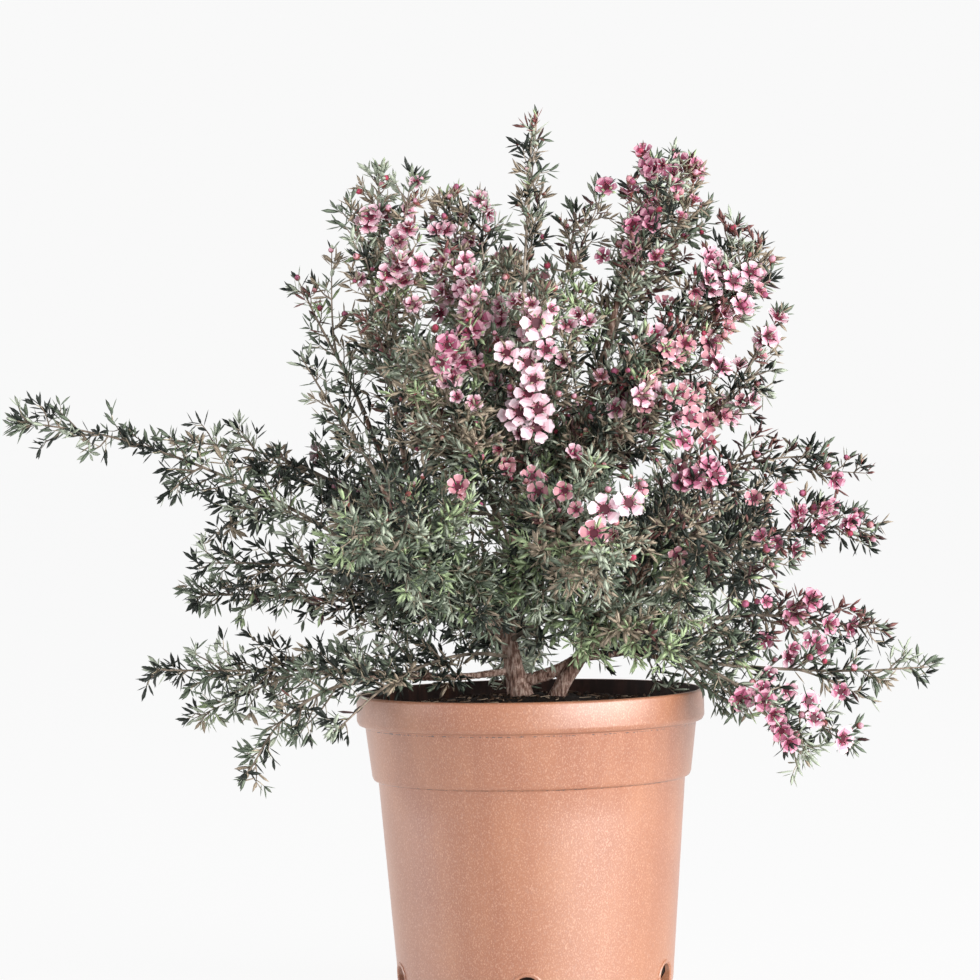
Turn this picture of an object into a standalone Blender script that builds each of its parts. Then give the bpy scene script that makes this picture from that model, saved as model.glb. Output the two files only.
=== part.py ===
"""Potted manuka: a tea tree shrub in a plastic grower's pot.

The origin is at the middle of the pot's flat underside, with +Z up and +X along the longest spray.
Places in the tables are in millimetres, as MM turns them to metres.
"""

import math
import random

import bmesh
import bpy
import numpy as np
from mathutils import Matrix, Vector

MM = 0.001
GAP = 0.3 * MM

# Pot
POT_HEIGHT = 150 * MM
RIM_RADIUS = 85 * MM
BAND_TOP_RADIUS = 81 * MM
BAND_FOOT_RADIUS = 78 * MM
BODY_TOP_RADIUS = 75 * MM
BODY_FOOT_RADIUS = 67.6 * MM
FOOT_FLAT_RADIUS = 61 * MM
FOOT_ROUND = 13 * MM
RIM_DEPTH = 15 * MM
BAND_DEPTH = 42 * MM
STEP = 2 * MM
WALL = 2.2 * MM
FLOOR = 3 * MM
POT_SIDES = 30
NOTCHES = 5
NOTCH_RADIUS = 6.5 * MM
NOTCH_TOP = 18 * MM
NOTCH_SIDES = 12
NOTCH_LENGTH = 30 * MM
NOTCH_AT = 70 * MM
FIRST_NOTCH = math.radians(-94)

# Soil
SOIL_EDGE = 142 * MM
SOIL_MOUND = 148 * MM

# Trunk, from just under its flat cut on the soil to the tip of the leading stem: x, y and height
TRUNK_COURSE = [
    (-4.4, 0, 145),
    (-8.5, 0, 166),
    (-10, 0, 182),
    (-7, 1, 202),
    (-6, 2, 228),
    (-4, 2, 264),
    (-2, 0, 300),
]
TRUNK_FOOT_RADIUS = 4.8 * MM
TRUNK_TIP_RADIUS = 1.6 * MM
ROOT_FLARE = 2.4 * MM
FLARE_HEIGHT = 5 * MM
TRUNK_STEPS = 12
TRUNK_CUT = SOIL_MOUND + GAP
TRUNK_SIDES = 8

BOUGH_SIDES = 6
LONG_BOUGH = 90 * MM
LONG_BOUGH_STEPS = 7
SHORT_BOUGH_STEPS = 4

# Boughs: name, what carries it, how far along that, tip, sweep of the middle, foot and tip radius
BOUGHS = [
    ("right_stem", "trunk", 0.07, (66, -5, 234), (10, -5, -15), 3.3, 2.0),
    ("right_leader", "trunk", 0.68, (38, 4, 306), (3, 2, -3), 2.0, 1.5),
    ("left_riser", "trunk", 0.42, (-60, 0, 270), (-9, 0, -9), 2.2, 1.5),
    ("left_arm", "trunk", 0.35, (-84, 3, 222), (0, 4, -5), 2.2, 1.5),
    ("left_low_bough", "trunk", 0.12, (-80, -12, 161), (0, -2, -3), 1.9, 1.4),
    ("front_bough", "trunk", 0.50, (10, -50, 224), (0, 0, -5), 1.8, 1.4),
    ("front_left_bough", "trunk", 0.30, (-42, -48, 212), (0, 0, -5), 1.8, 1.4),
    ("back_bough", "trunk", 0.46, (4, 52, 238), (0, 0, -5), 1.8, 1.4),
    ("back_left_bough", "trunk", 0.26, (-44, 48, 212), (0, 0, -5), 1.8, 1.4),
    ("left_upper_bough", "left_arm", 0.50, (-76, 20, 236), (0, 3, -2), 1.5, 1.3),
    ("left_mid_bough", "left_arm", 0.34, (-74, -22, 206), (0, -3, 0), 1.5, 1.3),
    ("left_droop_bough", "left_low_bough", 0.45, (-80, -44, 160), (0, -3, 2), 1.5, 1.3),
    ("left_shoulder_bough", "left_riser", 0.74, (-78, 14, 286), (-2, 3, -3), 1.5, 1.3),
    ("left_flank_bough", "left_riser", 0.48, (-72, -16, 256), (-3, -3, -3), 1.5, 1.3),
    ("right_low_bough", "right_stem", 0.30, (76, 12, 178), (2, 3, -3), 1.8, 1.4),
    ("right_lowest_bough", "right_low_bough", 0.36, (78, -18, 164), (2, -3, 0), 1.5, 1.3),
    ("right_droop_bough", "right_stem", 0.40, (72, -46, 168), (2, -3, 2), 1.6, 1.3),
    ("right_end_bough", "right_stem", 0.74, (84, -24, 214), (3, -2, -2), 1.5, 1.3),
    ("right_flank_bough", "right_stem", 0.86, (80, 14, 264), (0, 4, -2), 1.5, 1.3),
    ("right_shoulder_bough", "right_leader", 0.50, (58, -14, 292), (3, -3, -3), 1.5, 1.3),
    ("front_right_bough", "right_stem", 0.56, (58, -50, 222), (2, 0, -3), 1.6, 1.3),
    ("back_right_bough", "right_stem", 0.50, (60, 48, 220), (2, 2, -3), 1.6, 1.3),
]

# Sprays: name, what carries it, how far along that, tip, sweep near the tip, reach of its twigs
SPRAYS = [
    ("top_spray", "trunk", 1.0, (7, 0, 431), (0, 0, 0), 28),
    ("crown_mid_left", "trunk", 0.84, (-38, 12, 398), (-6, 3, -6), 36),
    ("crown_mid_right", "trunk", 0.90, (31, 14, 390), (6, 3, -6), 34),
    ("crown_front", "trunk", 0.66, (8, -62, 344), (0, -6, -10), 40),
    ("crown_front_left", "trunk", 0.58, (-46, -66, 322), (-4, -8, -12), 40),
    ("crown_front_right", "trunk", 0.62, (62, -62, 306), (6, -8, -12), 40),
    ("crown_back", "trunk", 0.76, (-6, 74, 366), (0, 8, -10), 42),
    ("crown_back_left", "trunk", 0.54, (-58, 84, 318), (-6, 8, -14), 42),
    ("crown_back_right", "trunk", 0.60, (76, 78, 310), (6, 8, -14), 42),
    ("left_rise", "trunk", 0.22, (-172, 20, 203), (0, 6, 0), 34),
    ("left_front", "trunk", 0.17, (-99, -84, 140), (0, -6, 10), 34),
    ("front_low", "trunk", 0.25, (72, -112, 178), (0, -6, 14), 38),
    ("back_low", "trunk", 0.15, (-6, 150, 160), (0, 0, 10), 40),
    ("right_high", "right_stem", 1.0, (154, 8, 268), (0, 0, 2), 40),
    ("crown_right", "right_leader", 1.0, (84, 0, 412), (-4, 0, 4), 40),
    ("crown_left", "left_riser", 1.0, (-70, 0, 412), (-2, 0, -4), 36),
    ("left_long", "left_arm", 1.0, (-254, 0, 292), (0, 0, 10), 30),
    ("left_low", "left_low_bough", 1.0, (-191, -12, 165), (0, 0, -2), 34),
    ("front_mid", "front_bough", 1.0, (36, -140, 218), (0, 0, 8), 46),
    ("front_left", "front_left_bough", 1.0, (-88, -122, 236), (0, 0, 4), 46),
    ("back_mid", "back_bough", 1.0, (10, 160, 268), (0, 0, 6), 46),
    ("back_left", "back_left_bough", 1.0, (-98, 128, 240), (0, 0, 4), 46),
    ("left_upper", "left_upper_bough", 1.0, (-172, 24, 281), (0, 0, 4), 36),
    ("left_mid", "left_mid_bough", 1.0, (-164, -24, 219), (0, 0, 2), 36),
    ("left_droop", "left_droop_bough", 1.0, (-146, -62, 114), (-4, 0, 10), 32),
    ("left_shoulder", "left_shoulder_bough", 1.0, (-113, 14, 360), (-2, 0, 0), 28),
    ("left_flank", "left_flank_bough", 1.0, (-112, -16, 322), (-2, 0, 0), 28),
    ("right_low", "right_low_bough", 1.0, (181, 14, 177), (0, 0, 0), 36),
    ("right_lowest", "right_lowest_bough", 1.0, (202, -14, 157), (0, 0, -3), 34),
    ("right_droop", "right_droop_bough", 1.0, (138, -58, 116), (3, 0, 6), 36),
    ("right_end", "right_end_bough", 1.0, (173, -26, 232), (0, 0, -2), 38),
    ("right_flank", "right_flank_bough", 1.0, (128, 16, 318), (2, 0, -2), 36),
    ("right_shoulder", "right_shoulder_bough", 1.0, (121, -14, 369), (2, 0, -2), 38),
    ("front_right", "front_right_bough", 1.0, (112, -116, 208), (0, 0, 8), 46),
    ("back_right", "back_right_bough", 1.0, (120, 112, 212), (0, 0, 8), 46),
]
SEED = 5
SPRAY_STEPS = 5
SPRAY_SIDES = 3
SPRAY_FOOT_RADIUS = 1.4 * MM
SPRAY_TIP_RADIUS = 0.8 * MM
TWIG_SPACING = 18 * MM
TWIGS = (4, 7)
FIRST_TWIG_ON_TIP = 0.14
FIRST_TWIG_ON_TRUNK = 0.3
LAST_TWIG = 0.93
TWIG_RADIUS = 1.3 * MM
TWIG_TAPER = (1, 0.9, 0.7)
TWIG_ONWARD = 0.35
TWIG_RISE = 0.12
TWIG_ANGLE = math.radians(44)
FULL_TWIGS = 0.5
GOLDEN_ANGLE = math.radians(137.5)
ANGLE_SPREAD = 0.2
STEM_BEND = 0.3
CARRIER_PULL = 0.5
TWIG_SHORTENING = 0.7
TWIG_SPREAD = (0.85, 1.15)
LEAF_SPREAD = (0.88, 1.08)
FOOT_LEAF_SIZE = 1.1
LEAF_SHORTENING = 0.4
LEAF_LENGTH = 30 * MM
LEAF_WIDTH = 10.5 * MM
LEAF_THICKNESS = 1.4 * MM
LEAF_ANGLE = math.radians(46)
TIP_LEAF_LENGTH = 18 * MM
ROOT_SUNK = 1.2 * MM
SPACE_MARGIN = 1.4 * MM
LIMB_MARGIN = 1.0 * MM
POT_MARGIN = 1.5 * MM

BARK = (0.16, 0.10, 0.075)
LEAF_COLOURS = [(0.10, 0.15, 0.09), (0.15, 0.22, 0.12), (0.20, 0.16, 0.10)]


def clear_scene():
    for obj in list(bpy.data.objects):
        bpy.data.objects.remove(obj, do_unlink=True)


def new_collection(name):
    collection = bpy.data.collections.new(name)
    bpy.context.scene.collection.children.link(collection)
    return collection


def material(name, colour, roughness):
    made = bpy.data.materials.new(name)
    made.use_nodes = True
    shader = made.node_tree.nodes["Principled BSDF"]
    shader.inputs["Base Color"].default_value = (*colour, 1)
    shader.inputs["Roughness"].default_value = roughness
    shader.inputs["Metallic"].default_value = 0
    return made


def place(obj, collection, paint=None):
    """Puts an object in one collection only and gives it its material."""
    for held in list(obj.users_collection):
        held.objects.unlink(obj)
    collection.objects.link(obj)
    if paint:
        obj.data.materials.clear()
        obj.data.materials.append(paint)
    return obj


def hide_cutter(obj):
    obj.hide_render = True
    obj.display_type = "WIRE"
    return obj


def apply_modifiers(obj):
    """Replaces the object's mesh with what its modifiers make of it."""
    graph = bpy.context.evaluated_depsgraph_get()
    mesh = bpy.data.meshes.new_from_object(obj.evaluated_get(graph))
    obj.modifiers.clear()
    obj.data = mesh


def boolean(obj, operation, other):
    modifier = obj.modifiers.new(operation.title(), "BOOLEAN")
    modifier.operation = operation
    modifier.solver = "EXACT"
    if isinstance(other, bpy.types.Collection):
        modifier.operand_type = "COLLECTION"
        modifier.collection = other
    else:
        modifier.object = other
    return modifier


# Pot and soil


def pot_outline():
    """Radius and height down the outer side, from the rim to the middle of the underside."""
    rim_foot = POT_HEIGHT - RIM_DEPTH
    band_foot = POT_HEIGHT - BAND_DEPTH
    outline = [
        (RIM_RADIUS - 0.8 * MM, POT_HEIGHT),
        (RIM_RADIUS, POT_HEIGHT - 1 * MM),
        (RIM_RADIUS, rim_foot + STEP),
        (RIM_RADIUS - 1 * MM, rim_foot),
        (BAND_TOP_RADIUS, rim_foot - 0.6 * MM),
        (BAND_FOOT_RADIUS, band_foot + STEP),
        (BAND_FOOT_RADIUS - 0.8 * MM, band_foot),
        (BODY_TOP_RADIUS, band_foot - 0.8 * MM),
    ]
    turns = 3
    for turn in range(turns + 1):
        angle = math.radians(90) * turn / turns
        radius = FOOT_FLAT_RADIUS + (BODY_FOOT_RADIUS - FOOT_FLAT_RADIUS) * math.cos(angle)
        outline.append((radius, FOOT_ROUND * (1 - math.sin(angle))))
    return outline


def pot_lining():
    """Radius and height up the inner side, from the floor to the rim."""
    band_foot = POT_HEIGHT - BAND_DEPTH
    rim_foot = POT_HEIGHT - RIM_DEPTH
    return [
        (FOOT_FLAT_RADIUS - WALL, FLOOR),
        (BODY_FOOT_RADIUS - WALL, FOOT_ROUND),
        (BODY_TOP_RADIUS - WALL, band_foot),
        (BAND_TOP_RADIUS - WALL, rim_foot),
        (RIM_RADIUS - WALL, rim_foot + STEP),
        (RIM_RADIUS - WALL, POT_HEIGHT),
    ]


def turned(name, profile, sides):
    """Turns a profile of radius and height about the Z axis."""
    mesh = bpy.data.meshes.new(name)
    points = [(radius, 0, height) for radius, height in profile]
    mesh.from_pydata(points, [(i, i + 1) for i in range(len(points) - 1)], [])
    obj = bpy.data.objects.new(name, mesh)
    screw = obj.modifiers.new("Turn", "SCREW")
    screw.axis = "Z"
    screw.angle = math.tau
    screw.steps = sides
    screw.render_steps = sides
    screw.use_merge_vertices = True
    screw.merge_threshold = 0.00001
    screw.use_normal_calculate = True
    return obj


def make_pot(collection, cutters):
    profile = pot_outline() + [(0, 0), (0, FLOOR)] + pot_lining()
    profile.append(profile[0])
    pot = turned("pot", profile, POT_SIDES)
    place(pot, collection, material("terracotta_plastic", (0.65, 0.33, 0.21), 0.55))
    for index in range(NOTCHES):
        bearing = FIRST_NOTCH + math.tau * index / NOTCHES
        bpy.ops.mesh.primitive_cylinder_add(
            vertices=NOTCH_SIDES,
            radius=NOTCH_RADIUS,
            depth=NOTCH_LENGTH,
            location=(math.cos(bearing) * NOTCH_AT, math.sin(bearing) * NOTCH_AT, NOTCH_TOP - NOTCH_RADIUS),
            rotation=(math.radians(90), 0, bearing + math.radians(90)),
        )
        notch = hide_cutter(bpy.context.object)
        for vert in notch.data.vertices:
            if vert.co.y < -NOTCH_RADIUS / 10:
                vert.co.y -= NOTCH_TOP
        notch.name = f"notch_cutter_{index}"
        place(notch, cutters)
        boolean(pot, "DIFFERENCE", notch)
    return pot


def soil_height(radius):
    share = min(radius / (RIM_RADIUS - WALL), 1)
    return SOIL_EDGE + (SOIL_MOUND - SOIL_EDGE) * (0.5 + 0.5 * math.cos(math.pi * share))


def make_soil(collection):
    profile = []
    edge = RIM_RADIUS - WALL - GAP
    rings = 3
    for ring in range(rings + 1):
        radius = edge * ring / rings
        profile.append((radius, soil_height(radius)))
    for radius, height in reversed(pot_lining()[:-1]):
        profile.append((radius - GAP, height + GAP))
    profile.append((0, FLOOR + GAP))
    soil = turned("soil", profile, POT_SIDES)
    return place(soil, collection, material("potting_soil", (0.045, 0.030, 0.022), 0.95))


# Limbs


class Limb:
    """A course of points with a radius at each one."""

    def __init__(self, name, points, radii):
        self.name = name
        self.points = [Vector(point) for point in points]
        self.radii = radii

    def at(self, share):
        """The point, direction and radius part of the way along."""
        place_along = share * (len(self.points) - 1)
        index = min(int(place_along), len(self.points) - 2)
        rest = place_along - index
        start, end = self.points[index], self.points[index + 1]
        radius = self.radii[index] * (1 - rest) + self.radii[index + 1] * rest
        return start.lerp(end, rest), (end - start).normalized(), radius

    def length(self):
        return sum((b - a).length for a, b in zip(self.points, self.points[1:]))


def through(points, steps):
    """A smooth course through a few points."""
    knots = [2 * points[0] - points[1], *points, 2 * points[-1] - points[-2]]
    course = []
    for step in range(steps + 1):
        along = step / steps * (len(points) - 1)
        index = min(int(along), len(points) - 2)
        t = along - index
        a, b, c, d = knots[index : index + 4]
        square = (2 * a - 5 * b + 4 * c - d) * t**2
        cube = (3 * b - a - 3 * c + d) * t**3
        course.append(0.5 * (2 * b + (c - a) * t + square + cube))
    return course


def cubic(a, b, c, d, steps):
    course = []
    for step in range(steps + 1):
        t = step / steps
        course.append(a * (1 - t) ** 3 + 3 * b * t * (1 - t) ** 2 + 3 * c * t**2 * (1 - t) + d * t**3)
    return course


def taper(foot, tip, count):
    return [foot + (tip - foot) * i / (count - 1) for i in range(count)]


def trunk_limb():
    course = through([Vector(point) * MM for point in TRUNK_COURSE], TRUNK_STEPS)
    radii = taper(TRUNK_FOOT_RADIUS, TRUNK_TIP_RADIUS, len(course))
    for index, point in enumerate(course):
        radii[index] += ROOT_FLARE * math.exp(-max(point.z - TRUNK_CUT, 0) / FLARE_HEIGHT)
    return Limb("trunk", course, radii)


def bough_limb(name, carrier, share, tip, sweep, foot_radius, tip_radius):
    foot = carrier.at(share)[0]
    end = Vector(tip) * MM
    bow = Vector(sweep) * MM * 4 / 3
    steps = LONG_BOUGH_STEPS if (end - foot).length > LONG_BOUGH else SHORT_BOUGH_STEPS
    course = cubic(foot, foot.lerp(end, 0.33) + bow, foot.lerp(end, 0.67) + bow, end, steps)
    return Limb(name, course, taper(foot_radius * MM, tip_radius * MM, len(course)))


def spray_limb(name, carrier, share, tip, sweep):
    """The stem of a spray. On a tip it runs on from the limb, 0.3 mm clear of it."""
    foot, direction, radius = carrier.at(share)
    end = Vector(tip) * MM
    end -= (end - foot).normalized() * TIP_LEAF_LENGTH
    reach = (end - foot).length
    if share < 1:
        direction = ((end - foot).normalized() + direction * CARRIER_PULL).normalized()
    near = foot + direction * reach * STEM_BEND
    far = end - (end - near).normalized() * reach * STEM_BEND + Vector(sweep) * MM
    course = cubic(foot, near, far, end, SPRAY_STEPS)
    if share == 1:
        turn = (course[1] - course[0]).angle(direction)
        course[0] = foot + direction * (GAP + SPRAY_FOOT_RADIUS * math.sin(turn))
    return Limb(name, course, taper(SPRAY_FOOT_RADIUS, SPRAY_TIP_RADIUS, len(course)))


def tube(name, points, radii, sides):
    """A tapering tube along a course, closed at both ends."""
    ring = bpy.data.curves.new(name + "_section", "CURVE")
    ring.dimensions = "2D"
    outline = ring.splines.new("POLY")
    outline.points.add(sides - 1)
    for index, point in enumerate(outline.points):
        turn = math.tau * index / sides
        point.co = (math.cos(turn), math.sin(turn), 0, 1)
    outline.use_cyclic_u = True
    section = bpy.data.objects.new(name + "_section", ring)
    curve = bpy.data.curves.new(name, "CURVE")
    curve.dimensions = "3D"
    curve.bevel_mode = "OBJECT"
    curve.bevel_object = section
    curve.use_fill_caps = True
    spline = curve.splines.new("POLY")
    spline.points.add(len(points) - 1)
    for point, place_at, radius in zip(spline.points, points, radii):
        point.co = (*place_at, 1)
        point.radius = radius
    drawn = bpy.data.objects.new(name, curve)
    bpy.context.scene.collection.objects.link(drawn)
    graph = bpy.context.evaluated_depsgraph_get()
    mesh = bpy.data.meshes.new_from_object(drawn.evaluated_get(graph))
    bpy.data.objects.remove(drawn)
    bpy.data.objects.remove(section)
    shape = bmesh.new()
    shape.from_mesh(mesh)
    bmesh.ops.remove_doubles(shape, verts=shape.verts, dist=0.000001)
    bmesh.ops.recalc_face_normals(shape, faces=shape.faces)
    shape.to_mesh(mesh)
    shape.free()
    return bpy.data.objects.new(name, mesh)


def cut_flat(obj, height):
    """Cuts away what lies below a level and closes the cut."""
    shape = bmesh.new()
    shape.from_mesh(obj.data)
    everything = [*shape.verts, *shape.edges, *shape.faces]
    cut = bmesh.ops.bisect_plane(
        shape, geom=everything, plane_co=(0, 0, height), plane_no=(0, 0, 1), clear_inner=True
    )
    rim = [part for part in cut["geom_cut"] if isinstance(part, bmesh.types.BMEdge)]
    bmesh.ops.holes_fill(shape, edges=rim)
    bmesh.ops.recalc_face_normals(shape, faces=shape.faces)
    shape.to_mesh(obj.data)
    shape.free()


def grown_limb(limb, cutters):
    """A limb's shape with the gap all round, which cuts what springs from it."""
    obj = tube(limb.name + "_cutter", limb.points, [radius + GAP for radius in limb.radii], TRUNK_SIDES)
    return hide_cutter(place(obj, cutters))


def keep_largest(obj):
    """Drops any loose scrap and keeps the main body."""
    shape = bmesh.new()
    shape.from_mesh(obj.data)
    left = set(shape.verts)
    bodies = []
    while left:
        body, front = set(), [left.pop()]
        while front:
            vert = front.pop()
            body.add(vert)
            for edge in vert.link_edges:
                other = edge.other_vert(vert)
                if other in left:
                    left.remove(other)
                    front.append(other)
        bodies.append(body)
    bodies.sort(key=len)
    for body in bodies[:-1]:
        bmesh.ops.delete(shape, geom=list(body), context="VERTS")
    shape.to_mesh(obj.data)
    shape.free()


# Sprays


class Space:
    """Which points a spray may use: nearer its own stem than any other, and clear of limbs and pot."""

    def __init__(self, sprays, limbs):
        self.spray_lines = [self.lines(spray) for spray in sprays]
        self.limb_lines = [self.lines(limb) for limb in limbs]
        self.limb_radii = [max(limb.radii[1:]) for limb in limbs]

    @staticmethod
    def lines(limb):
        points = np.array(limb.points)
        return points[:-1], points[1:]

    @staticmethod
    def distance(points, lines):
        starts, ends = lines
        along = ends - starts
        offset = points[:, None, :] - starts[None]
        share = (offset * along).sum(2) / (along**2).sum(1)
        nearest = starts + np.clip(share, 0, 1)[..., None] * along
        return np.linalg.norm(points[:, None, :] - nearest, axis=2).min(1)

    def allows(self, index, points):
        points = np.array(points)
        own = self.distance(points, self.spray_lines[index])
        for other, lines in enumerate(self.spray_lines):
            if other != index and (self.distance(points, lines) < own + SPACE_MARGIN).any():
                return False
        for lines, radius in zip(self.limb_lines, self.limb_radii):
            if (self.distance(points, lines) < radius + LIMB_MARGIN).any():
                return False
        return self.clear_of_pot(points)

    @staticmethod
    def clear_of_pot(points):
        for x, y, z in points:
            radius = math.hypot(x, y)
            if z < POT_HEIGHT + POT_MARGIN and radius < RIM_RADIUS + POT_MARGIN:
                if radius > RIM_RADIUS - WALL - POT_MARGIN or z < soil_height(radius) + POT_MARGIN:
                    return False
        return True


def turned_aside(direction, side, angle):
    return (direction * math.cos(angle) + side * math.sin(angle)).normalized()


def side_of(direction, turn):
    """A direction square to the given one, turned about it from the vertical."""
    base = direction.cross(Vector((0, 1, 0.001))).normalized()
    return Matrix.Rotation(turn, 3, direction) @ base


def twig_course(spray, share, turn, length):
    """A twig that leaves its stem at an angle and bends back towards the stem's own direction."""
    foot, direction, _ = spray.at(share)
    out = turned_aside(direction, side_of(direction, turn), TWIG_ANGLE)
    middle = foot + out * length * 0.5
    onward = (out + direction * TWIG_ONWARD + Vector((0, 0, TWIG_RISE))).normalized()
    return [foot, middle, middle + onward * length * 0.5]


def leaf_frame(foot, direction, turn):
    """The matrix that lays a leaf from its foot along a direction."""
    side = side_of(direction, turn)
    across = direction.cross(side)
    frame = Matrix((side, direction, across)).transposed().to_4x4()
    return Matrix.Translation(foot) @ frame


def leaf_corners(frame, length):
    shares = ((0, 0, 0), (1, 0.5, 0), (-1, 0.5, 0), (0, 0.5, 1), (0, 1, 0), (0.6, 0.7, 0), (-0.6, 0.7, 0))
    return [
        frame @ Vector((x * LEAF_WIDTH / 2, y * length, z * LEAF_THICKNESS / 2)) for x, y, z in shares
    ]


def make_leaf(name, frame, length):
    """A pointed leaf with a keel: a three-sided spindle, widest at its middle."""
    shape = bmesh.new()
    bmesh.ops.create_uvsphere(shape, u_segments=3, v_segments=2, radius=1)
    for vert in shape.verts:
        x, y, z = vert.co
        along = 0.5 if abs(z) < 0.5 else (1 if z > 0 else 0)
        vert.co = (y * LEAF_WIDTH / math.sqrt(3), along * length, x * LEAF_THICKNESS / 1.5)
    bmesh.ops.transform(shape, matrix=frame, verts=shape.verts)
    bmesh.ops.recalc_face_normals(shape, faces=shape.faces)
    mesh = bpy.data.meshes.new(name)
    shape.to_mesh(mesh)
    shape.free()
    return bpy.data.objects.new(name, mesh)


def between(points, count):
    """Points spread along a short course."""
    return [a.lerp(b, i / count) for a, b in zip(points, points[1:]) for i in range(1, count + 1)]


def grow_spray(index, spray, reach, on_tip, space, draw):
    """The twigs and leaves of one spray, in order up its stem, as loose closed shapes."""
    pieces = []
    count = min(max(TWIGS[0], round(spray.length() / TWIG_SPACING)), TWIGS[1])
    first = FIRST_TWIG_ON_TIP if on_tip else FIRST_TWIG_ON_TRUNK
    turn = draw.uniform(0, math.tau)
    for number in range(count):
        share = first + (LAST_TWIG - first) * number / (count - 1)
        turn += GOLDEN_ANGLE + draw.uniform(-ANGLE_SPREAD, ANGLE_SPREAD)
        length = reach * MM * (1 - TWIG_SHORTENING * share) * draw.uniform(*TWIG_SPREAD)
        rolls = [draw.uniform(0, math.tau) for _ in range(3)]
        stretch = [draw.uniform(*LEAF_SPREAD) for _ in range(3)]
        course = twig_course(spray, share, turn, length)
        if not space.allows(index, between(course, 4)[1:]):
            continue
        radii = [TWIG_RADIUS * part for part in TWIG_TAPER]
        pieces.append(tube(f"twig_{number}", course, radii, SPRAY_SIDES))
        onward = (course[2] - course[1]).normalized()
        sides = [side_of(onward, rolls[1]), side_of(onward, rolls[1] + math.pi)]
        stations = [
            (course[2] - onward * ROOT_SUNK, onward),
            (course[1].lerp(course[2], 0.2), turned_aside(onward, sides[0], LEAF_ANGLE)),
            (course[0].lerp(course[1], 0.75), turned_aside(onward, sides[1], LEAF_ANGLE)),
        ]
        leaves = 3 if share < FULL_TWIGS else 2
        for order, (foot, direction) in enumerate(stations[:leaves]):
            frame = leaf_frame(foot, direction, rolls[order])
            size = LEAF_LENGTH * stretch[order] * (FOOT_LEAF_SIZE - LEAF_SHORTENING * share)
            if space.allows(index, leaf_corners(frame, size)[1:]):
                pieces.append(make_leaf(f"leaf_{number}_{order}", frame, size))
    foot, direction, _ = spray.at(1)
    frame = leaf_frame(foot - direction * ROOT_SUNK, direction, turn)
    pieces.append(make_leaf("leaf_tip", frame, TIP_LEAF_LENGTH + ROOT_SUNK))
    return pieces


def make_spray(index, row, spray, space, cutter, collection):
    """One mass of foliage: its stem, cut clear of the trunk where it springs from it, joined to its twigs."""
    reach = row[5]
    on_tip = row[2] == 1
    draw = random.Random(SEED * 100 + index)
    stem = tube(spray.name, spray.points, spray.radii, SPRAY_SIDES)
    place(stem, collection)
    pieces = new_collection(spray.name + "_pieces")
    for piece in grow_spray(index, spray, reach, on_tip, space, draw):
        place(piece, pieces)
    if not on_tip:
        boolean(stem, "DIFFERENCE", cutter)
    boolean(stem, "UNION", pieces)
    apply_modifiers(stem)
    for piece in list(pieces.objects):
        bpy.data.objects.remove(piece, do_unlink=True)
    bpy.data.collections.remove(pieces)
    keep_largest(stem)
    colour = LEAF_COLOURS[index % len(LEAF_COLOURS)]
    return place(stem, collection, material(spray.name + "_leaves", colour, 0.6))


def main():
    clear_scene()
    collection = new_collection("potted_manuka")
    cutters = new_collection("cutters")
    make_pot(collection, cutters)
    make_soil(collection)
    limbs = {"trunk": trunk_limb()}
    for name, carrier, *rest in BOUGHS:
        limbs[name] = bough_limb(name, limbs[carrier], *rest)
    trunk = tube("trunk", limbs["trunk"].points, limbs["trunk"].radii, TRUNK_SIDES)
    cut_flat(trunk, TRUNK_CUT)
    place(trunk, collection, material("trunk_bark", BARK, 0.85))
    grown = {}
    for carrier in {row[1] for row in BOUGHS}:
        grown[carrier] = grown_limb(limbs[carrier], cutters)
    for name, carrier, *_ in BOUGHS:
        bough = tube(name, limbs[name].points, limbs[name].radii, BOUGH_SIDES)
        place(bough, collection, material(name + "_bark", BARK, 0.85))
        boolean(bough, "DIFFERENCE", grown[carrier])
        apply_modifiers(bough)
        keep_largest(bough)
    sprays = [spray_limb(row[0], limbs[row[1]], *row[2:5]) for row in SPRAYS]
    space = Space(sprays, limbs.values())
    for index, (row, spray) in enumerate(zip(SPRAYS, sprays)):
        make_spray(index, row, spray, space, grown["trunk"], collection)


if __name__ == "__main__":
    main()
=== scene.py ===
"""Potted manuka: dresses the packed solids of a tea tree shrub in its grower's pot.

The frame is in metres with +Z up, and its origin is at the middle of the pot's flat underside.
Places in the tables are in millimetres, as MM turns them to metres.
"""

import math
import random
from functools import lru_cache

import bpy
import numpy as np
from bpy.props import FloatProperty, FloatVectorProperty, IntProperty, PointerProperty
from mathutils import Matrix, Vector, kdtree, noise


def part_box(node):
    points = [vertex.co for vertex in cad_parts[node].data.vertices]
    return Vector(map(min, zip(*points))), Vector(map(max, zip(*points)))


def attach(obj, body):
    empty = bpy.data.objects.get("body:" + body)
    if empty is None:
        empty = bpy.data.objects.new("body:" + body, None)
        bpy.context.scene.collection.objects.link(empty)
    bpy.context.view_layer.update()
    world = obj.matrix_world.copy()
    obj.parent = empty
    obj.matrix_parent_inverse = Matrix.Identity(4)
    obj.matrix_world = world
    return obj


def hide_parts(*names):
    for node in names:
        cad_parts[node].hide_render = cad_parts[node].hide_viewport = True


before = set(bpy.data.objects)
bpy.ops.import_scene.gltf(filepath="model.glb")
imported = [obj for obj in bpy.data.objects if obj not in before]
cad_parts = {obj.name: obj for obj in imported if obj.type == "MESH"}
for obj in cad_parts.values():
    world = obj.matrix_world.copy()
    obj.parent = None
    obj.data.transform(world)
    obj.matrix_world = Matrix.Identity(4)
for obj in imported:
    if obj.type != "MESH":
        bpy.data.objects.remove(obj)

bl_info = {
    "name": "Potted manuka",
    "version": (1, 0, 0),
    "blender": (4, 5, 0),
    "location": "View3D > Sidebar > Manuka",
    "description": "Builds the wood, leaves, blossom and pot of a manuka over its solids",
    "category": "Add Mesh",
}

MM = 0.001
GAP = 0.3 * MM

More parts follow.
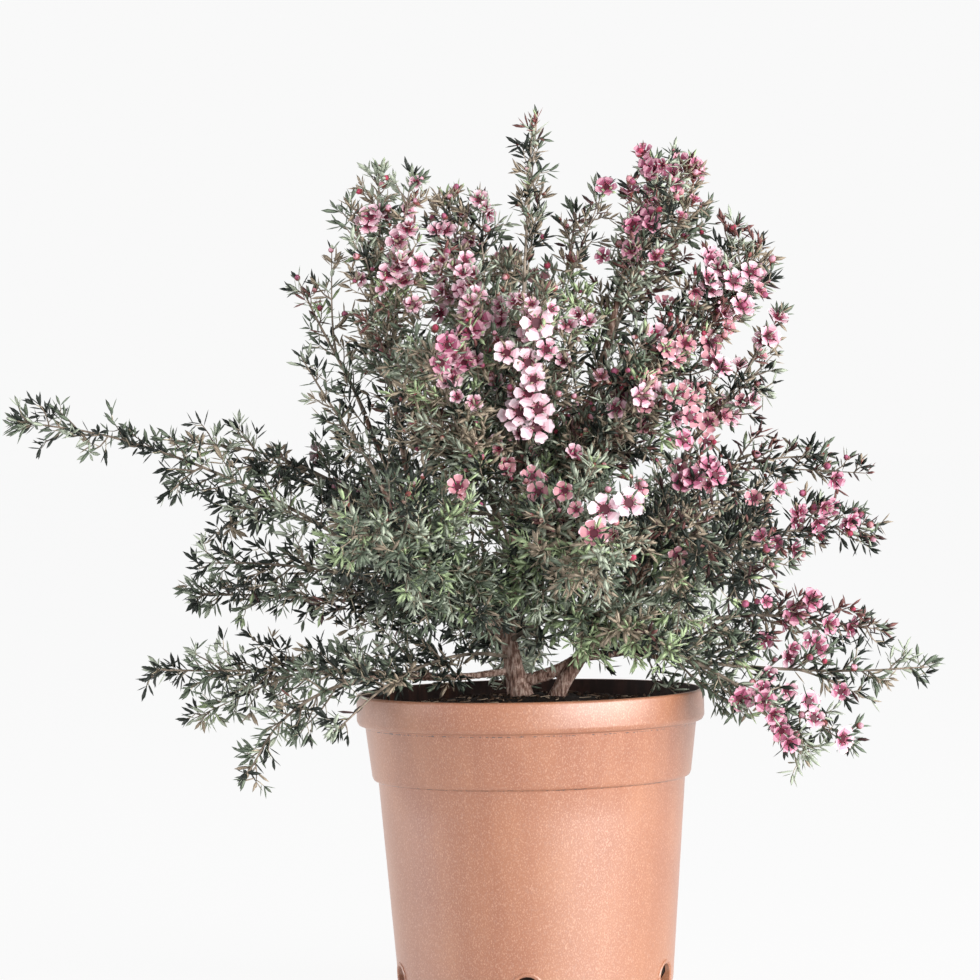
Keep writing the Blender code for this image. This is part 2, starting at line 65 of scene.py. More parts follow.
# Pot
POT_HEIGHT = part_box("pot")[1].z
RIM_RADIUS = 85 * MM
BAND_TOP_RADIUS = 81 * MM
BAND_FOOT_RADIUS = 78 * MM
BODY_TOP_RADIUS = 75 * MM
BODY_FOOT_RADIUS = 67.6 * MM
FOOT_FLAT_RADIUS = 61 * MM
FOOT_ROUND = 13 * MM
FOOT_TURNS = 8
RIM_DEPTH = 15 * MM
BAND_DEPTH = 42 * MM
STEP = 2 * MM
WALL = 2.2 * MM
FLOOR = 3 * MM
NOTCHES = 5
NOTCH_RADIUS = 6.5 * MM
NOTCH_TOP = 18 * MM
NOTCH_LENGTH = 30 * MM
NOTCH_AT = 70 * MM
NOTCH_SIDES = 24
FIRST_NOTCH = math.radians(-94)
ARCH_GAP = 1.2 * MM
ARCH_RADIUS = 0.9 * MM
ARCH_SIDES = 8
ARCH_STEPS = 14
ARCH_LEG_STEPS = 5
ARCH_FOOT = 1.5 * MM
ARCH_SUNK = 0.2 * MM
BODY_RINGS = 6
LIP = 0.8 * MM
BEVEL_ANGLE = math.radians(24)
POT_CREASE = math.radians(32)
LINING_DEPTH = 10 * MM

# Soil
SOIL_EDGE = 142 * MM
SOIL_MOUND = 148 * MM
SOIL_RINGS = 34
SOIL_SIDES = 96
SOIL_CREASE = math.radians(50)
SOIL_LUMPS = [(70, 3, 1.1 * MM), (260, 7, 0.7 * MM)]
CRUMB_SIZES = (0.6, 0.8, 1.1, 1.5, 2.1)
CRUMB_SHAPE = ((0.6, 1.4), (0.5, 1), (0.4, 0.8))
CRUMB_ROLL = 0.7
CRUMB_MARGIN = 3 * MM
FIBRE_LENGTH = (3, 8)
FIBRE_BEND = 0.5
FIBRE_POINTS = 4
FIBRE_RADIUS = 0.22 * MM
FIBRE_LIFT = 0.5 * MM
FIBRE_MARGIN = 8 * MM

# Trunk, from just under the soil to the tip of the leading stem: x, y and height
TRUNK_COURSE = [
    (-4.4, 0, 145),
    (-8.5, 0, 166),
    (-10, 0, 182),
    (-7, 1, 202),
    (-6, 2, 228),
    (-4, 2, 264),
    (-2, 0, 300),
]
TRUNK_FOOT_RADIUS = 4.8 * MM
TRUNK_TIP_RADIUS = 1.6 * MM
ROOT_FLARE = 2.4 * MM
FLARE_HEIGHT = 5 * MM
TRUNK_STEPS = 12
TRUNK_CUT = SOIL_MOUND + GAP
LONG_BOUGH = 90 * MM
LONG_BOUGH_STEPS = 7
SHORT_BOUGH_STEPS = 4

# Boughs: name, what carries it, how far along that, tip, sweep of the middle, foot and tip radius
BOUGHS = [
    ("right_stem", "trunk", 0.07, (66, -5, 234), (10, -5, -15), 3.3, 2.0),
    ("right_leader", "trunk", 0.68, (38, 4, 306), (3, 2, -3), 2.0, 1.5),
    ("left_riser", "trunk", 0.42, (-60, 0, 270), (-9, 0, -9), 2.2, 1.5),
    ("left_arm", "trunk", 0.35, (-84, 3, 222), (0, 4, -5), 2.2, 1.5),
    ("left_low_bough", "trunk", 0.12, (-80, -12, 161), (0, -2, -3), 1.9, 1.4),
    ("front_bough", "trunk", 0.50, (10, -50, 224), (0, 0, -5), 1.8, 1.4),
    ("front_left_bough", "trunk", 0.30, (-42, -48, 212), (0, 0, -5), 1.8, 1.4),
    ("back_bough", "trunk", 0.46, (4, 52, 238), (0, 0, -5), 1.8, 1.4),
    ("back_left_bough", "trunk", 0.26, (-44, 48, 212), (0, 0, -5), 1.8, 1.4),
    ("left_upper_bough", "left_arm", 0.50, (-76, 20, 236), (0, 3, -2), 1.5, 1.3),
    ("left_mid_bough", "left_arm", 0.34, (-74, -22, 206), (0, -3, 0), 1.5, 1.3),
    ("left_droop_bough", "left_low_bough", 0.45, (-80, -44, 160), (0, -3, 2), 1.5, 1.3),
    ("left_shoulder_bough", "left_riser", 0.74, (-78, 14, 286), (-2, 3, -3), 1.5, 1.3),
    ("left_flank_bough", "left_riser", 0.48, (-72, -16, 256), (-3, -3, -3), 1.5, 1.3),
    ("right_low_bough", "right_stem", 0.30, (76, 12, 178), (2, 3, -3), 1.8, 1.4),
    ("right_lowest_bough", "right_low_bough", 0.36, (78, -18, 164), (2, -3, 0), 1.5, 1.3),
    ("right_droop_bough", "right_stem", 0.40, (72, -46, 168), (2, -3, 2), 1.6, 1.3),
    ("right_end_bough", "right_stem", 0.74, (84, -24, 214), (3, -2, -2), 1.5, 1.3),
    ("right_flank_bough", "right_stem", 0.86, (80, 14, 264), (0, 4, -2), 1.5, 1.3),
    ("right_shoulder_bough", "right_leader", 0.50, (58, -14, 292), (3, -3, -3), 1.5, 1.3),
    ("front_right_bough", "right_stem", 0.56, (58, -50, 222), (2, 0, -3), 1.6, 1.3),
    ("back_right_bough", "right_stem", 0.50, (60, 48, 220), (2, 2, -3), 1.6, 1.3),
]

# Stems beside those: one from the soil into the right stem, one that carries the right leader on
SIDE_STEMS = [
    ([(11, -6, 143), (17, -7, 155), (26, -8, 168), (33, -9, 183), (46, -8, 199), (60, -6, 222)], (4.2, 2.2)),
    ([(34, 4, 300), (41, 0, 318), (48, -5, 346), (54, -6, 366), (60, -4, 382)], (2.0, 1.1)),
]
SIDE_STEM_STEPS = 18

# Sprays: name, what carries it, how far along that, tip, sweep near the tip, reach of its twigs, leaf mix
SPRAYS = [
    ("top_spray", "trunk", 1.0, (7, 0, 431), (0, 0, 0), 28, "crown"),
    ("crown_mid_left", "trunk", 0.84, (-38, 12, 398), (-6, 3, -6), 36, "crown"),
    ("crown_mid_right", "trunk", 0.90, (31, 14, 390), (6, 3, -6), 34, "crown"),
    ("crown_front", "trunk", 0.66, (8, -62, 344), (0, -6, -10), 40, "blossom"),
    ("crown_front_left", "trunk", 0.58, (-46, -66, 322), (-4, -8, -12), 40, "blossom"),
    ("crown_front_right", "trunk", 0.62, (62, -62, 306), (6, -8, -12), 40, "blossom"),
    ("crown_back", "trunk", 0.76, (-6, 74, 366), (0, 8, -10), 42, "crown"),
    ("crown_back_left", "trunk", 0.54, (-58, 84, 318), (-6, 8, -14), 42, "crown"),
    ("crown_back_right", "trunk", 0.60, (76, 78, 310), (6, 8, -14), 42, "crown"),
    ("left_rise", "trunk", 0.22, (-172, 20, 203), (0, 6, 0), 34, "shade"),
    ("left_front", "trunk", 0.17, (-99, -84, 140), (0, -6, 10), 34, "shade"),
    ("front_low", "trunk", 0.25, (72, -112, 178), (0, -6, 14), 38, "front"),
    ("back_low", "trunk", 0.15, (-6, 150, 160), (0, 0, 10), 40, "shade"),
    ("right_high", "right_stem", 1.0, (154, 8, 268), (0, 0, 2), 40, "maroon"),
    ("crown_right", "right_leader", 1.0, (84, 0, 412), (-4, 0, 4), 40, "bronze"),
    ("crown_left", "left_riser", 1.0, (-70, 0, 412), (-2, 0, -4), 36, "crown"),
    ("left_long", "left_arm", 1.0, (-254, 0, 292), (0, 0, 10), 30, "shade"),
    ("left_low", "left_low_bough", 1.0, (-191, -12, 165), (0, 0, -2), 34, "shade"),
    ("front_mid", "front_bough", 1.0, (36, -140, 218), (0, 0, 8), 46, "front"),
    ("front_left", "front_left_bough", 1.0, (-88, -122, 236), (0, 0, 4), 46, "front"),
    ("back_mid", "back_bough", 1.0, (10, 160, 268), (0, 0, 6), 46, "shade"),
    ("back_left", "back_left_bough", 1.0, (-98, 128, 240), (0, 0, 4), 46, "shade"),
    ("left_upper", "left_upper_bough", 1.0, (-172, 24, 281), (0, 0, 4), 36, "shade"),
    ("left_mid", "left_mid_bough", 1.0, (-164, -24, 219), (0, 0, 2), 36, "shade"),
    ("left_droop", "left_droop_bough", 1.0, (-146, -62, 114), (-4, 0, 10), 32, "shade"),
    ("left_shoulder", "left_shoulder_bough", 1.0, (-113, 14, 360), (-2, 0, 0), 28, "crown"),
    ("left_flank", "left_flank_bough", 1.0, (-112, -16, 322), (-2, 0, 0), 28, "shade"),
    ("right_low", "right_low_bough", 1.0, (181, 14, 177), (0, 0, 0), 36, "maroon"),
    ("right_lowest", "right_lowest_bough", 1.0, (202, -14, 157), (0, 0, -3), 34, "shade"),
    ("right_droop", "right_droop_bough", 1.0, (138, -58, 116), (3, 0, 6), 36, "shade"),
    ("right_end", "right_end_bough", 1.0, (173, -26, 232), (0, 0, -2), 38, "maroon"),
    ("right_flank", "right_flank_bough", 1.0, (128, 16, 318), (2, 0, -2), 36, "bronze"),
    ("right_shoulder", "right_shoulder_bough", 1.0, (121, -14, 369), (2, 0, -2), 38, "bronze"),
    ("front_right", "front_right_bough", 1.0, (112, -116, 208), (0, 0, 8), 46, "maroon"),
    ("back_right", "back_right_bough", 1.0, (120, 112, 212), (0, 0, 8), 46, "shade"),
]
MASSES = [row[0] for row in SPRAYS]

# Side sprays within the reach of those: what carries it, how far along that, tip, reach, leaf mix
SIDE_SPRAYS = [
    ("crown_left", 0.45, (-51, -20, 409), 26, "crown"),
    ("crown_left", 0.50, (-85, -15, 396), 24, "crown"),
    ("crown_mid_left", 0.40, (-19, 5, 398), 24, "crown"),
    ("top_spray", 0.35, (12, 15, 404), 22, "crown"),
    ("top_spray", 0.55, (10, 0, 437), 12, "crown"),
    ("crown_mid_right", 0.30, (44, -10, 402), 26, "bronze"),
    ("crown_right", 0.50, (66, -25, 412), 26, "bronze"),
    ("crown_right", 0.45, (93, 15, 390), 28, "bronze"),
    ("crown_front", 0.40, (32, -40, 340), 20, "blossom"),
    ("crown_front", 0.30, (-25, -30, 360), 30, "blossom"),
    ("crown_front_left", 0.40, (-49, -50, 327), 32, "blossom"),
    ("crown_front_right", 0.40, (75, -50, 324), 32, "bronze"),
    ("right_shoulder", 0.40, (108, -5, 381), 28, "bronze"),
    ("right_shoulder", 0.60, (127, 8, 360), 22, "bronze"),
    ("right_flank", 0.50, (129, -30, 338), 24, "bronze"),
    ("right_flank", 0.30, (127, -10, 302), 24, "bronze"),
    ("right_high", 0.50, (174, 0, 253), 26, "maroon"),
    ("right_high", 0.30, (123, -20, 241), 26, "maroon"),
    ("right_droop", 0.50, (163, -30, 122), 22, "shade"),
    ("right_lowest", 0.50, (173, -10, 140), 20, "shade"),
    ("left_shoulder", 0.50, (-93, -5, 374), 22, "crown"),
    ("left_flank", 0.40, (-105, -20, 291), 22, "shade"),
    ("left_upper", 0.45, (-159, -10, 225), 26, "shade"),
    ("left_long", 0.50, (-184, 0, 245), 22, "shade"),
    ("left_long", 0.25, (-144, -20, 237), 26, "shade"),
    ("left_low", 0.30, (-172, 10, 137), 24, "shade"),
    ("front_right", 0.30, (81, -70, 196), 34, "front"),
    ("front_right", 0.25, (97, -50, 221), 34, "maroon"),
    ("front_mid", 0.40, (15, -95, 255), 34, "front"),
    ("front_mid", 0.60, (-4, -115, 219), 30, "front"),
    ("front_mid", 0.50, (38, -105, 217), 32, "front"),
    ("front_left", 0.35, (-27, -95, 256), 34, "front"),
    ("crown_left", 0.30, (-58, -30, 368), 26, "blossom"),
    ("crown_left", 0.20, (-74, -20, 342), 24, "blossom"),
    ("crown_mid_left", 0.30, (-39, -25, 368), 26, "blossom"),
    ("crown_front_left", 0.30, (-25, -45, 346), 28, "blossom"),
    ("crown_front_left", 0.20, (-64, -55, 318), 28, "blossom"),
    ("crown_right", 0.30, (61, -25, 371), 28, "bronze"),
    ("crown_right", 0.20, (48, 5, 345), 24, "bronze"),
    ("right_shoulder", 0.30, (86, -30, 358), 28, "bronze"),
    ("crown_front_right", 0.30, (60, -55, 325), 28, "bronze"),
    ("crown_front_right", 0.20, (79, -65, 296), 30, "bronze"),
    ("right_flank", 0.20, (95, -20, 314), 26, "bronze"),
    ("front_mid", 0.30, (6, -85, 231), 32, "front"),
    ("front_mid", 0.20, (-13, -75, 241), 32, "front"),
    ("front_left", 0.30, (-34, -95, 228), 32, "front"),
    ("front_left", 0.20, (-18, -85, 204), 30, "front"),
    ("front_mid", 0.35, (19, -95, 199), 30, "front"),
    ("front_low", 0.45, (33, -80, 186), 28, "front"),
    ("front_mid", 0.15, (-1, -70, 260), 30, "front"),
    ("front_right", 0.20, (53, -80, 216), 30, "front"),
    ("front_right", 0.40, (70, -95, 174), 28, "front"),
    ("front_left", 0.50, (-56, -110, 206), 30, "front"),
    ("front_left", 0.40, (-47, -90, 181), 24, "shade"),
    ("front_left", 0.12, (-10, -82, 205), 28, "front"),
    ("front_left", 0.25, (-14, -90, 182), 26, "shade"),
    ("front_mid", 0.08, (-4, -74, 222), 28, "front"),
    ("front_mid", 0.25, (2, -92, 208), 28, "front"),
    ("front_mid", 0.05, (-16, -66, 196), 26, "front"),
    ("front_left", 0.10, (-8, -72, 180), 24, "shade"),
    ("front_mid", 0.08, (-16, -72, 188), 24, "front"),
    ("front_mid", 0.12, (1, -82, 186), 24, "front"),
]

# How full the fine twigs of a spray are, where it is thinner than the rest
THIN_SPRAYS = {
    "left_shoulder": 0.24,
    "left_flank": 0.26,
    "crown_left": 0.8,
    "left_long": 0.65,
    "left_upper": 0.65,
    "left_mid": 0.75,
    "left_rise": 0.7,
    "left_low": 0.75,
    "left_droop": 0.7,
    "left_front": 0.6,
    "right_high": 0.45,
    "right_shoulder": 0.85,
    "front_right": 0.8,
    "right_end": 0.85,
    "right_flank": 0.3,
    "right_flank_bough": 0.3,
    "left_shoulder_bough": 0.4,
    "left_flank_bough": 0.6,
    "right_low": 0.7,
    "right_lowest": 0.42,
    "right_droop": 0.75,
    "crown_back_left": 0.5,
    "crown_back_right": 0.45,
    "crown_mid_right": 0.5,
    "crown_back": 0.65,
    "top_spray": 0.34,
}
SEED = 5
SPRAY_STEPS = 5
SPRAY_FOOT_RADIUS = 1.4 * MM
SPRAY_TIP_RADIUS = 0.8 * MM
TIP_LEAF_LENGTH = 18 * MM
STEM_BEND = 0.3
CARRIER_PULL = 0.5
TWIG_SPACING = 18 * MM
TWIGS = (4, 7)
FIRST_TWIG_ON_TIP = 0.14
FIRST_TWIG_ON_TRUNK = 0.3
LAST_TWIG = 0.93
TWIG_ONWARD = 0.35
TWIG_RISE = 0.12
TWIG_ANGLE = math.radians(44)
GOLDEN_ANGLE = math.radians(137.5)
ANGLE_SPREAD = 0.2
TWIG_SHORTENING = 0.7
TWIG_SPREAD = (0.85, 1.15)
LEAF_SPREAD = (0.88, 1.08)
BLADES_ON_TWIG = 3
POT_MARGIN = 1.5 * MM

# Finer twigs that the shrub adds between and on those
STEM_DRAWN_STEPS = 14
STEM_TIP_LEAF = 8 * MM
STEM_TIP_RADIUS = 0.45 * MM
STEM_THINNING = 0.58
SIDE_SPRAY_GIRTH = 0.62
FINE_TWIG_SPACING = 5.0 * MM
FINE_TWIG_SHORTENING = 0.84
FINE_TWIG_SPREAD = (0.45, 1.1)
FINE_TWIG_TURN = 0.9
FINE_TWIG_LEAN = (-0.15, 0.45)
BOUGH_TWIG_SPACING = 6.5 * MM
BOUGH_TWIG_LENGTH = (18 * MM, 44 * MM)
BOUGH_TWIG_FIRST = 0.25
TWIG_STEPS = 4
TWIG_FOOT_RADIUS = 0.52 * MM
TWIG_TIP_RADIUS = 0.28 * MM
SHOOT_SPACING = 5.2 * MM
SHOOT_LENGTH = (4.5 * MM, 13 * MM)
SHOOT_SHARE = 0.42
SHOOT_ANGLE = (math.radians(42), math.radians(72))
SHOOT_TURN = 0.5
SHOOT_SIZES = (0.7, 1.2)
SHOOT_SHORTENING = 0.7
SHOOT_MARGIN = POT_MARGIN + 2 * MM
SHOOTS_OF_OTHER_KIND = 0.3
SHOOT_FOOT_RADIUS = 0.30 * MM
SHOOT_TIP_RADIUS = 0.19 * MM
FIRST_SHOOT = 0.16
SHOOTS_SPREAD = 0.78
LAST_FINE_TWIG = 0.98
LAST_LEAF = 0.96
BARE_SIDE_STEM = 0.12
BARE_TWIG = 0.1
BARE_SHOOT = 0.35
NODE_SPACING = 3.1 * MM
LEAVES_AT_TIP = 3
LEAF_TURN = 0.4
LEAF_SIZES = (0.76, 1.14)
LEAF_REACH = 9 * MM
TIP_LEAF_SIZE = 0.85
LEAF_TILT = (math.radians(40), math.radians(80))
TIP_TILT = (math.radians(16), math.radians(52))

# Leaf mixes: the share of each leaf kind in a spray of that mix. They paint light and shade: the shade mix is
# mostly dark leaves for the sprays in the shade, and the front mix is mostly sage and bright leaves for the
# lit front.
LEAF_KINDS = ("dark", "green", "sage", "bright", "olive", "bronze", "rust")
LEAF_MIXES = {
    "shade": (0.40, 0.30, 0.20, 0.02, 0.06, 0.02, 0.00),
    "front": (0.17, 0.17, 0.28, 0.30, 0.06, 0.02, 0.00),
    "crown": (0.18, 0.24, 0.22, 0.06, 0.22, 0.06, 0.02),
    "blossom": (0.08, 0.14, 0.30, 0.10, 0.28, 0.05, 0.05),
    "bronze": (0.18, 0.14, 0.14, 0.03, 0.22, 0.19, 0.10),
    "maroon": (0.33, 0.05, 0.02, 0.00, 0.04, 0.45, 0.11),
}

# Trusses of blossom: start and end across and up, how many flowers, their width, their tone, and buds
TRUSSES = [
    # left of the crown and its heart
    ((-66, 388), (-54, 344), 9, 13, "pink", 4),
    ((-58, 361), (-57, 359), 1, 17, "pink", 0),
    ((-39, 384), (-19, 341), 9, 11, "pink", 5),
    ((-23, 334), (-32, 306), 7, 13, "rose", 2),
    ((-37, 304), (-36, 304), 1, 18, "pink", 0),
    # middle
    ((5, 329), (6, 328), 1, 19, "pale", 0),
    ((3, 318), (4, 296), 5, 15, "pale", 1),
    ((-6, 291), (8, 279), 4, 17, "pale", 0),
    ((-7, 322), (16, 322), 4, 13, "pink", 2),
    ((-20, 262), (14, 259), 3, 12, "salmon", 2),
    ((26, 234), (28, 234), 1, 14, "salmon", 0),
    ((43, 244), (43, 245), 2, 17, "pale", 1),
    # right of the crown
    ((36, 290), (56, 298), 4, 13, "pink", 3),
    ((50, 393), (63, 366), 10, 11, "rose", 7),
    ((62, 404), (86, 408), 5, 11, "rose", 6),
    ((91, 369), (92, 339), 6, 14, "pink", 3),
    ((107, 356), (112, 321), 6, 13, "pink", 4),
    ((66, 318), (92, 316), 6, 12, "salmon", 2),
    ((70, 300), (92, 280), 7, 12, "salmon", 4),
    ((74, 270), (90, 250), 5, 12, "rose", 3),
    # right boughs
    ((139, 246), (161, 240), 5, 11, "rose", 6),
    ((120, 230), (146, 234), 3, 10, "rose", 5),
    ((126, 192), (145, 181), 7, 13, "rose", 3),
    ((104, 144), (122, 129), 7, 12, "rose", 4),
    ((116, 165), (136, 149), 5, 12, "pink", 3),
    ((150, 128), (152, 127), 1, 14, "pink", 1),
    # left shoulder
    ((-111, 361), (-86, 347), 0, 12, "rose", 7),
]
BLOSSOM_DEPTH = -40 * MM
BLOSSOM_NEST = 30 * MM
BLOSSOM_REACH = 9 * MM
SUNK = (0, 6 * MM)

# Loose flowers and buds: lowest and highest corner of their place, how many, their width, tone and buds
SCATTERS = [
    # crown, from left to right
    ((-84, 341), (-20, 400), 18, 9.5, "pink", 16),
    ((-74, 335), (-24, 392), 8, 9, "pink", 0),
    ((-48, 345), (18, 395), 3, 9, "pink", 12),
    # heart
    ((-42, 296), (-6, 345), 16, 9.5, "pink", 8),
    ((-20, 262), (36, 342), 20, 9.5, "pink", 14),
    # right side, from the top down
    ((43, 350), (95, 411), 16, 9.5, "rose", 16),
    ((58, 250), (117, 350), 20, 9, "salmon", 18),
    ((62, 262), (117, 350), 12, 11, "pink", 0),
    ((117, 214), (167, 262), 5, 9, "rose", 14),
    ((104, 130), (160, 204), 6, 9, "rose", 10),
    # foot of the heart
    ((14, 214), (73, 262), 5, 9, "salmon", 6),
    ((-40, 252), (20, 268), 4, 9, "salmon", 4),
]
BACK_SCATTERS = 30
HUSKS = 520
HUSK_WIDTH = (1.6 * MM, 2.8 * MM)
BUD_WIDTH = (2.4 * MM, 4.0 * MM)
BACK_WIDTH = (10 * MM, 16 * MM)

# Camera
CAMERA_AT = (-0.0175115, -2.4, 0.3136156)
CAMERA_LOOKS_AT = (-0.0175115, 0, 0.2484650)
CAMERA_ROLL = math.radians(1.2)
CAMERA_LENS = 180.5


# Sizes and colours that a maker may change


def tint(name, description, default):
    return FloatVectorProperty(name=name, description=description, default=default, subtype="COLOR")


def measure(name, description, default, least=0.0):
    return FloatProperty(name=name, description=description, default=default, min=least, unit="LENGTH")


def tally(name, description, default, least=1):
    return IntProperty(name=name, description=description, default=default, min=least)


def wattage(name, description, default):
    return FloatProperty(name=name, description=description, default=default, min=0, unit="POWER")


class PotSettings(bpy.types.PropertyGroup):
    """Sizes and colours of the pot and the soil in it."""

    sides: tally("Sides", "Flat facets round the pot", 120, 24)
    edge: measure("Edge rounding", "Radius along the moulded edges of the pot", 0.5 * MM, 0.05 * MM)
    colour: tint("Plastic", "Main colour of the terracotta plastic", (0.345, 0.122, 0.052))
    speckle: tint("Pale speckle", "Colour of the pale flecks in the plastic", (0.68, 0.40, 0.28))
    soil: tint("Soil", "Main colour of the potting soil", (0.022, 0.014, 0.010))
    crumbs: tally("Crumbs", "Crumbs of bark lying on the soil", 700)
    fibres: tally("Fibres", "Pale fibres lying on the soil", 90)


class WoodSettings(bpy.types.PropertyGroup):
    """Relief and colours of the trunk, boughs and twigs."""

    grain: measure("Grain", "Size of one facet of the bark's relief", 0.62 * MM, 0.3 * MM)
    relief: measure("Relief", "Depth of the flaking strips on the trunk", 1.0 * MM)
    dark: tint("Dark bark", "Colour in the cracks", (0.030, 0.019, 0.015))
    bark: tint("Bark", "Main colour of the bark", (0.24, 0.135, 0.105))
    pale: tint("Flakes", "Colour of the peeling flakes", (0.62, 0.47, 0.40))
    twig: tint("Twigs", "Main colour of the twigs", (0.20, 0.160, 0.125))
    shoot: tint("Shoots", "Colour of this year's shoots", (0.38, 0.33, 0.24))


class LeafSettings(bpy.types.PropertyGroup):
    """Size and colours of the leaves."""

    length: measure("Leaf length", "Length of a full leaf", 8.5 * MM, 1 * MM)
    width: measure("Leaf width", "Width of a full leaf", 1.95 * MM, 0.2 * MM)
    # Dark is partly painted shade: near-black leaves for the shaded sprays. Sage and bright are partly
    # painted light: paler leaves where the light falls.
    dark: tint("Dark", "Old leaves in the shade", (0.021, 0.028, 0.022))
    green: tint("Green", "Full-grown leaves", (0.150, 0.188, 0.135))
    sage: tint("Sage", "Leaves with a pale bloom", (0.45, 0.505, 0.40))
    bright: tint("Bright", "Young leaves in the light", (0.42, 0.53, 0.30))
    olive: tint("Olive", "Leaves turning brown", (0.36, 0.295, 0.22))
    bronze: tint("Bronze", "Leaves among the blossom", (0.055, 0.023, 0.023))
    rust: tint("Rust", "Reddest leaves among the blossom", (0.22, 0.095, 0.088))


class BlossomSettings(bpy.types.PropertyGroup):
    """Colours of the flowers and buds."""

    white: tint("White petal", "Edge of the palest petals", (0.88, 0.70, 0.77))
    pale: tint("Pale petal", "Edge of an open petal", (0.80, 0.53, 0.61))
    pink: tint("Pink petal", "Middle of an open petal", (0.64, 0.33, 0.42))
    rose: tint("Rose petal", "Foot of a petal", (0.37, 0.095, 0.175))
    salmon: tint("Salmon petal", "Petals that fade", (0.58, 0.27, 0.31))
    heart: tint("Heart", "Disc in the middle", (0.075, 0.010, 0.022))
    stamen: tint("Stamens", "Ring of stamens", (0.42, 0.05, 0.10))
    sepal: tint("Sepals", "Cup under the petals", (0.24, 0.075, 0.065))
    husk: tint("Husks", "Dry cups of last year's flowers", (0.46, 0.31, 0.26))


class StageSettings(bpy.types.PropertyGroup):
    """Light and floor."""

    floor: tint("Floor", "Colour of the floor and the wall", (0.947, 0.947, 0.947))
    key: wattage("Key light", "Power of the light from the right", 160)
    fill: wattage("Fill light", "Power of the light from the left", 42)
    front: wattage("Front light", "Power of the light from the front", 36)
    sky: FloatProperty(name="Room light", description="Strength of the light all round", default=0.37, min=0)


SETTINGS = {
    "manuka_pot": PotSettings,
    "manuka_wood": WoodSettings,
    "manuka_leaf": LeafSettings,
    "manuka_blossom": BlossomSettings,
    "manuka_stage": StageSettings,
}


# Meshes


class Drawing:
    """Corners and faces gathered for one joined mesh."""

    def __init__(self):
        self.corners = []
        self.count = 0
        self.faces = {}

    def add(self, corners, figure, shade=0):
        """Adds copies of one figure: corners by copy, and the parts of one copy as arrays of corner numbers.

        A shade is one number, or one for each part of each copy.
        """
        corners = np.asarray(corners, float)
        copies = corners.reshape(-1, corners.shape[-2], 3)
        start = self.count + np.arange(len(copies))[:, None, None] * copies.shape[1]
        shade = np.broadcast_to(np.asarray(shade), (len(copies), len(figure)))
        for part, faces in enumerate(figure):
            faces = np.asarray(faces)
            size = faces.shape[1]
            block = (faces[None] + start).reshape(-1, size)
            shades = np.repeat(shade[:, part], len(faces))
            self.faces.setdefault(size, []).append((block, shades))
        self.corners.append(copies.reshape(-1, 3))
        self.count += copies.shape[0] * copies.shape[1]

    def mesh(self, name):
        mesh = bpy.data.meshes.new(name)
        corners = np.concatenate(self.corners)
        loops, starts, shades, at = [], [], [], 0
        for size in sorted(self.faces):
            block = np.concatenate([faces for faces, _ in self.faces[size]])
            loops.append(block.ravel())
            starts.append(at + np.arange(len(block)) * size)
            shades += [shade for _, shade in self.faces[size]]
            at += block.size
        mesh.vertices.add(len(corners))
        mesh.vertices.foreach_set("co", corners.ravel())
        mesh.loops.add(at)
        mesh.loops.foreach_set("vertex_index", np.concatenate(loops))
        starts = np.concatenate(starts)
        mesh.polygons.add(len(starts))
        mesh.polygons.foreach_set("loop_start", starts)
        mesh.polygons.foreach_set("material_index", np.concatenate(shades))
        mesh.update(calc_edges=True)
        return mesh


def deselect():
    bpy.ops.object.select_all(action="DESELECT")


def choose(obj):
    deselect()
    obj.select_set(True)
    bpy.context.view_layer.objects.active = obj
    return obj


def placed(name, drawing):
    obj = bpy.data.objects.new(name, drawing.mesh(name))
    bpy.context.scene.collection.objects.link(obj)
    return obj


def finished(obj, slot, nodes, *paints):
    """Gives a piece its materials and its body, and hides the solids it stands for; its slot is not used."""
    if obj.data.materials:
        obj.data.materials.clear()
    for paint in paints:
        obj.data.materials.append(paint)
    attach(obj, "root")
    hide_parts(*nodes)
    return obj


def apply_modifier(obj, kind, **values):
    """Adds a modifier to the chosen object and applies it."""
    modifier = obj.modifiers.new(kind.title(), kind)
    for key, value in values.items():
        setattr(modifier, key, value)
    bpy.ops.object.modifier_apply(modifier=modifier.name)


def raised_rings(name, profile, sides):
    """Raises a filled ring through a profile of radius and height, so that both ends stay closed."""
    deselect()
    radius, height = profile[0]
    foot = (0, 0, height)
    bpy.ops.mesh.primitive_circle_add(vertices=sides, radius=radius, fill_type="NGON", location=foot)
    obj = bpy.context.object
    obj.name = name
    obj.data.name = name
    bpy.ops.object.transform_apply(location=True, rotation=True, scale=True)
    bpy.ops.object.mode_set(mode="EDIT")
    bpy.ops.mesh.select_all(action="SELECT")
    for next_radius, next_height in profile[1:]:
        bpy.ops.mesh.extrude_region_move(TRANSFORM_OT_translate={"value": (0, 0, next_height - height)})
        spread = next_radius / radius
        bpy.ops.transform.resize(value=(spread, spread, 1), center_override=(0, 0, next_height))
        radius, height = next_radius, next_height
    bpy.ops.mesh.select_all(action="SELECT")
    bpy.ops.mesh.normals_make_consistent(inside=False)
    bpy.ops.object.mode_set(mode="OBJECT")
    return obj


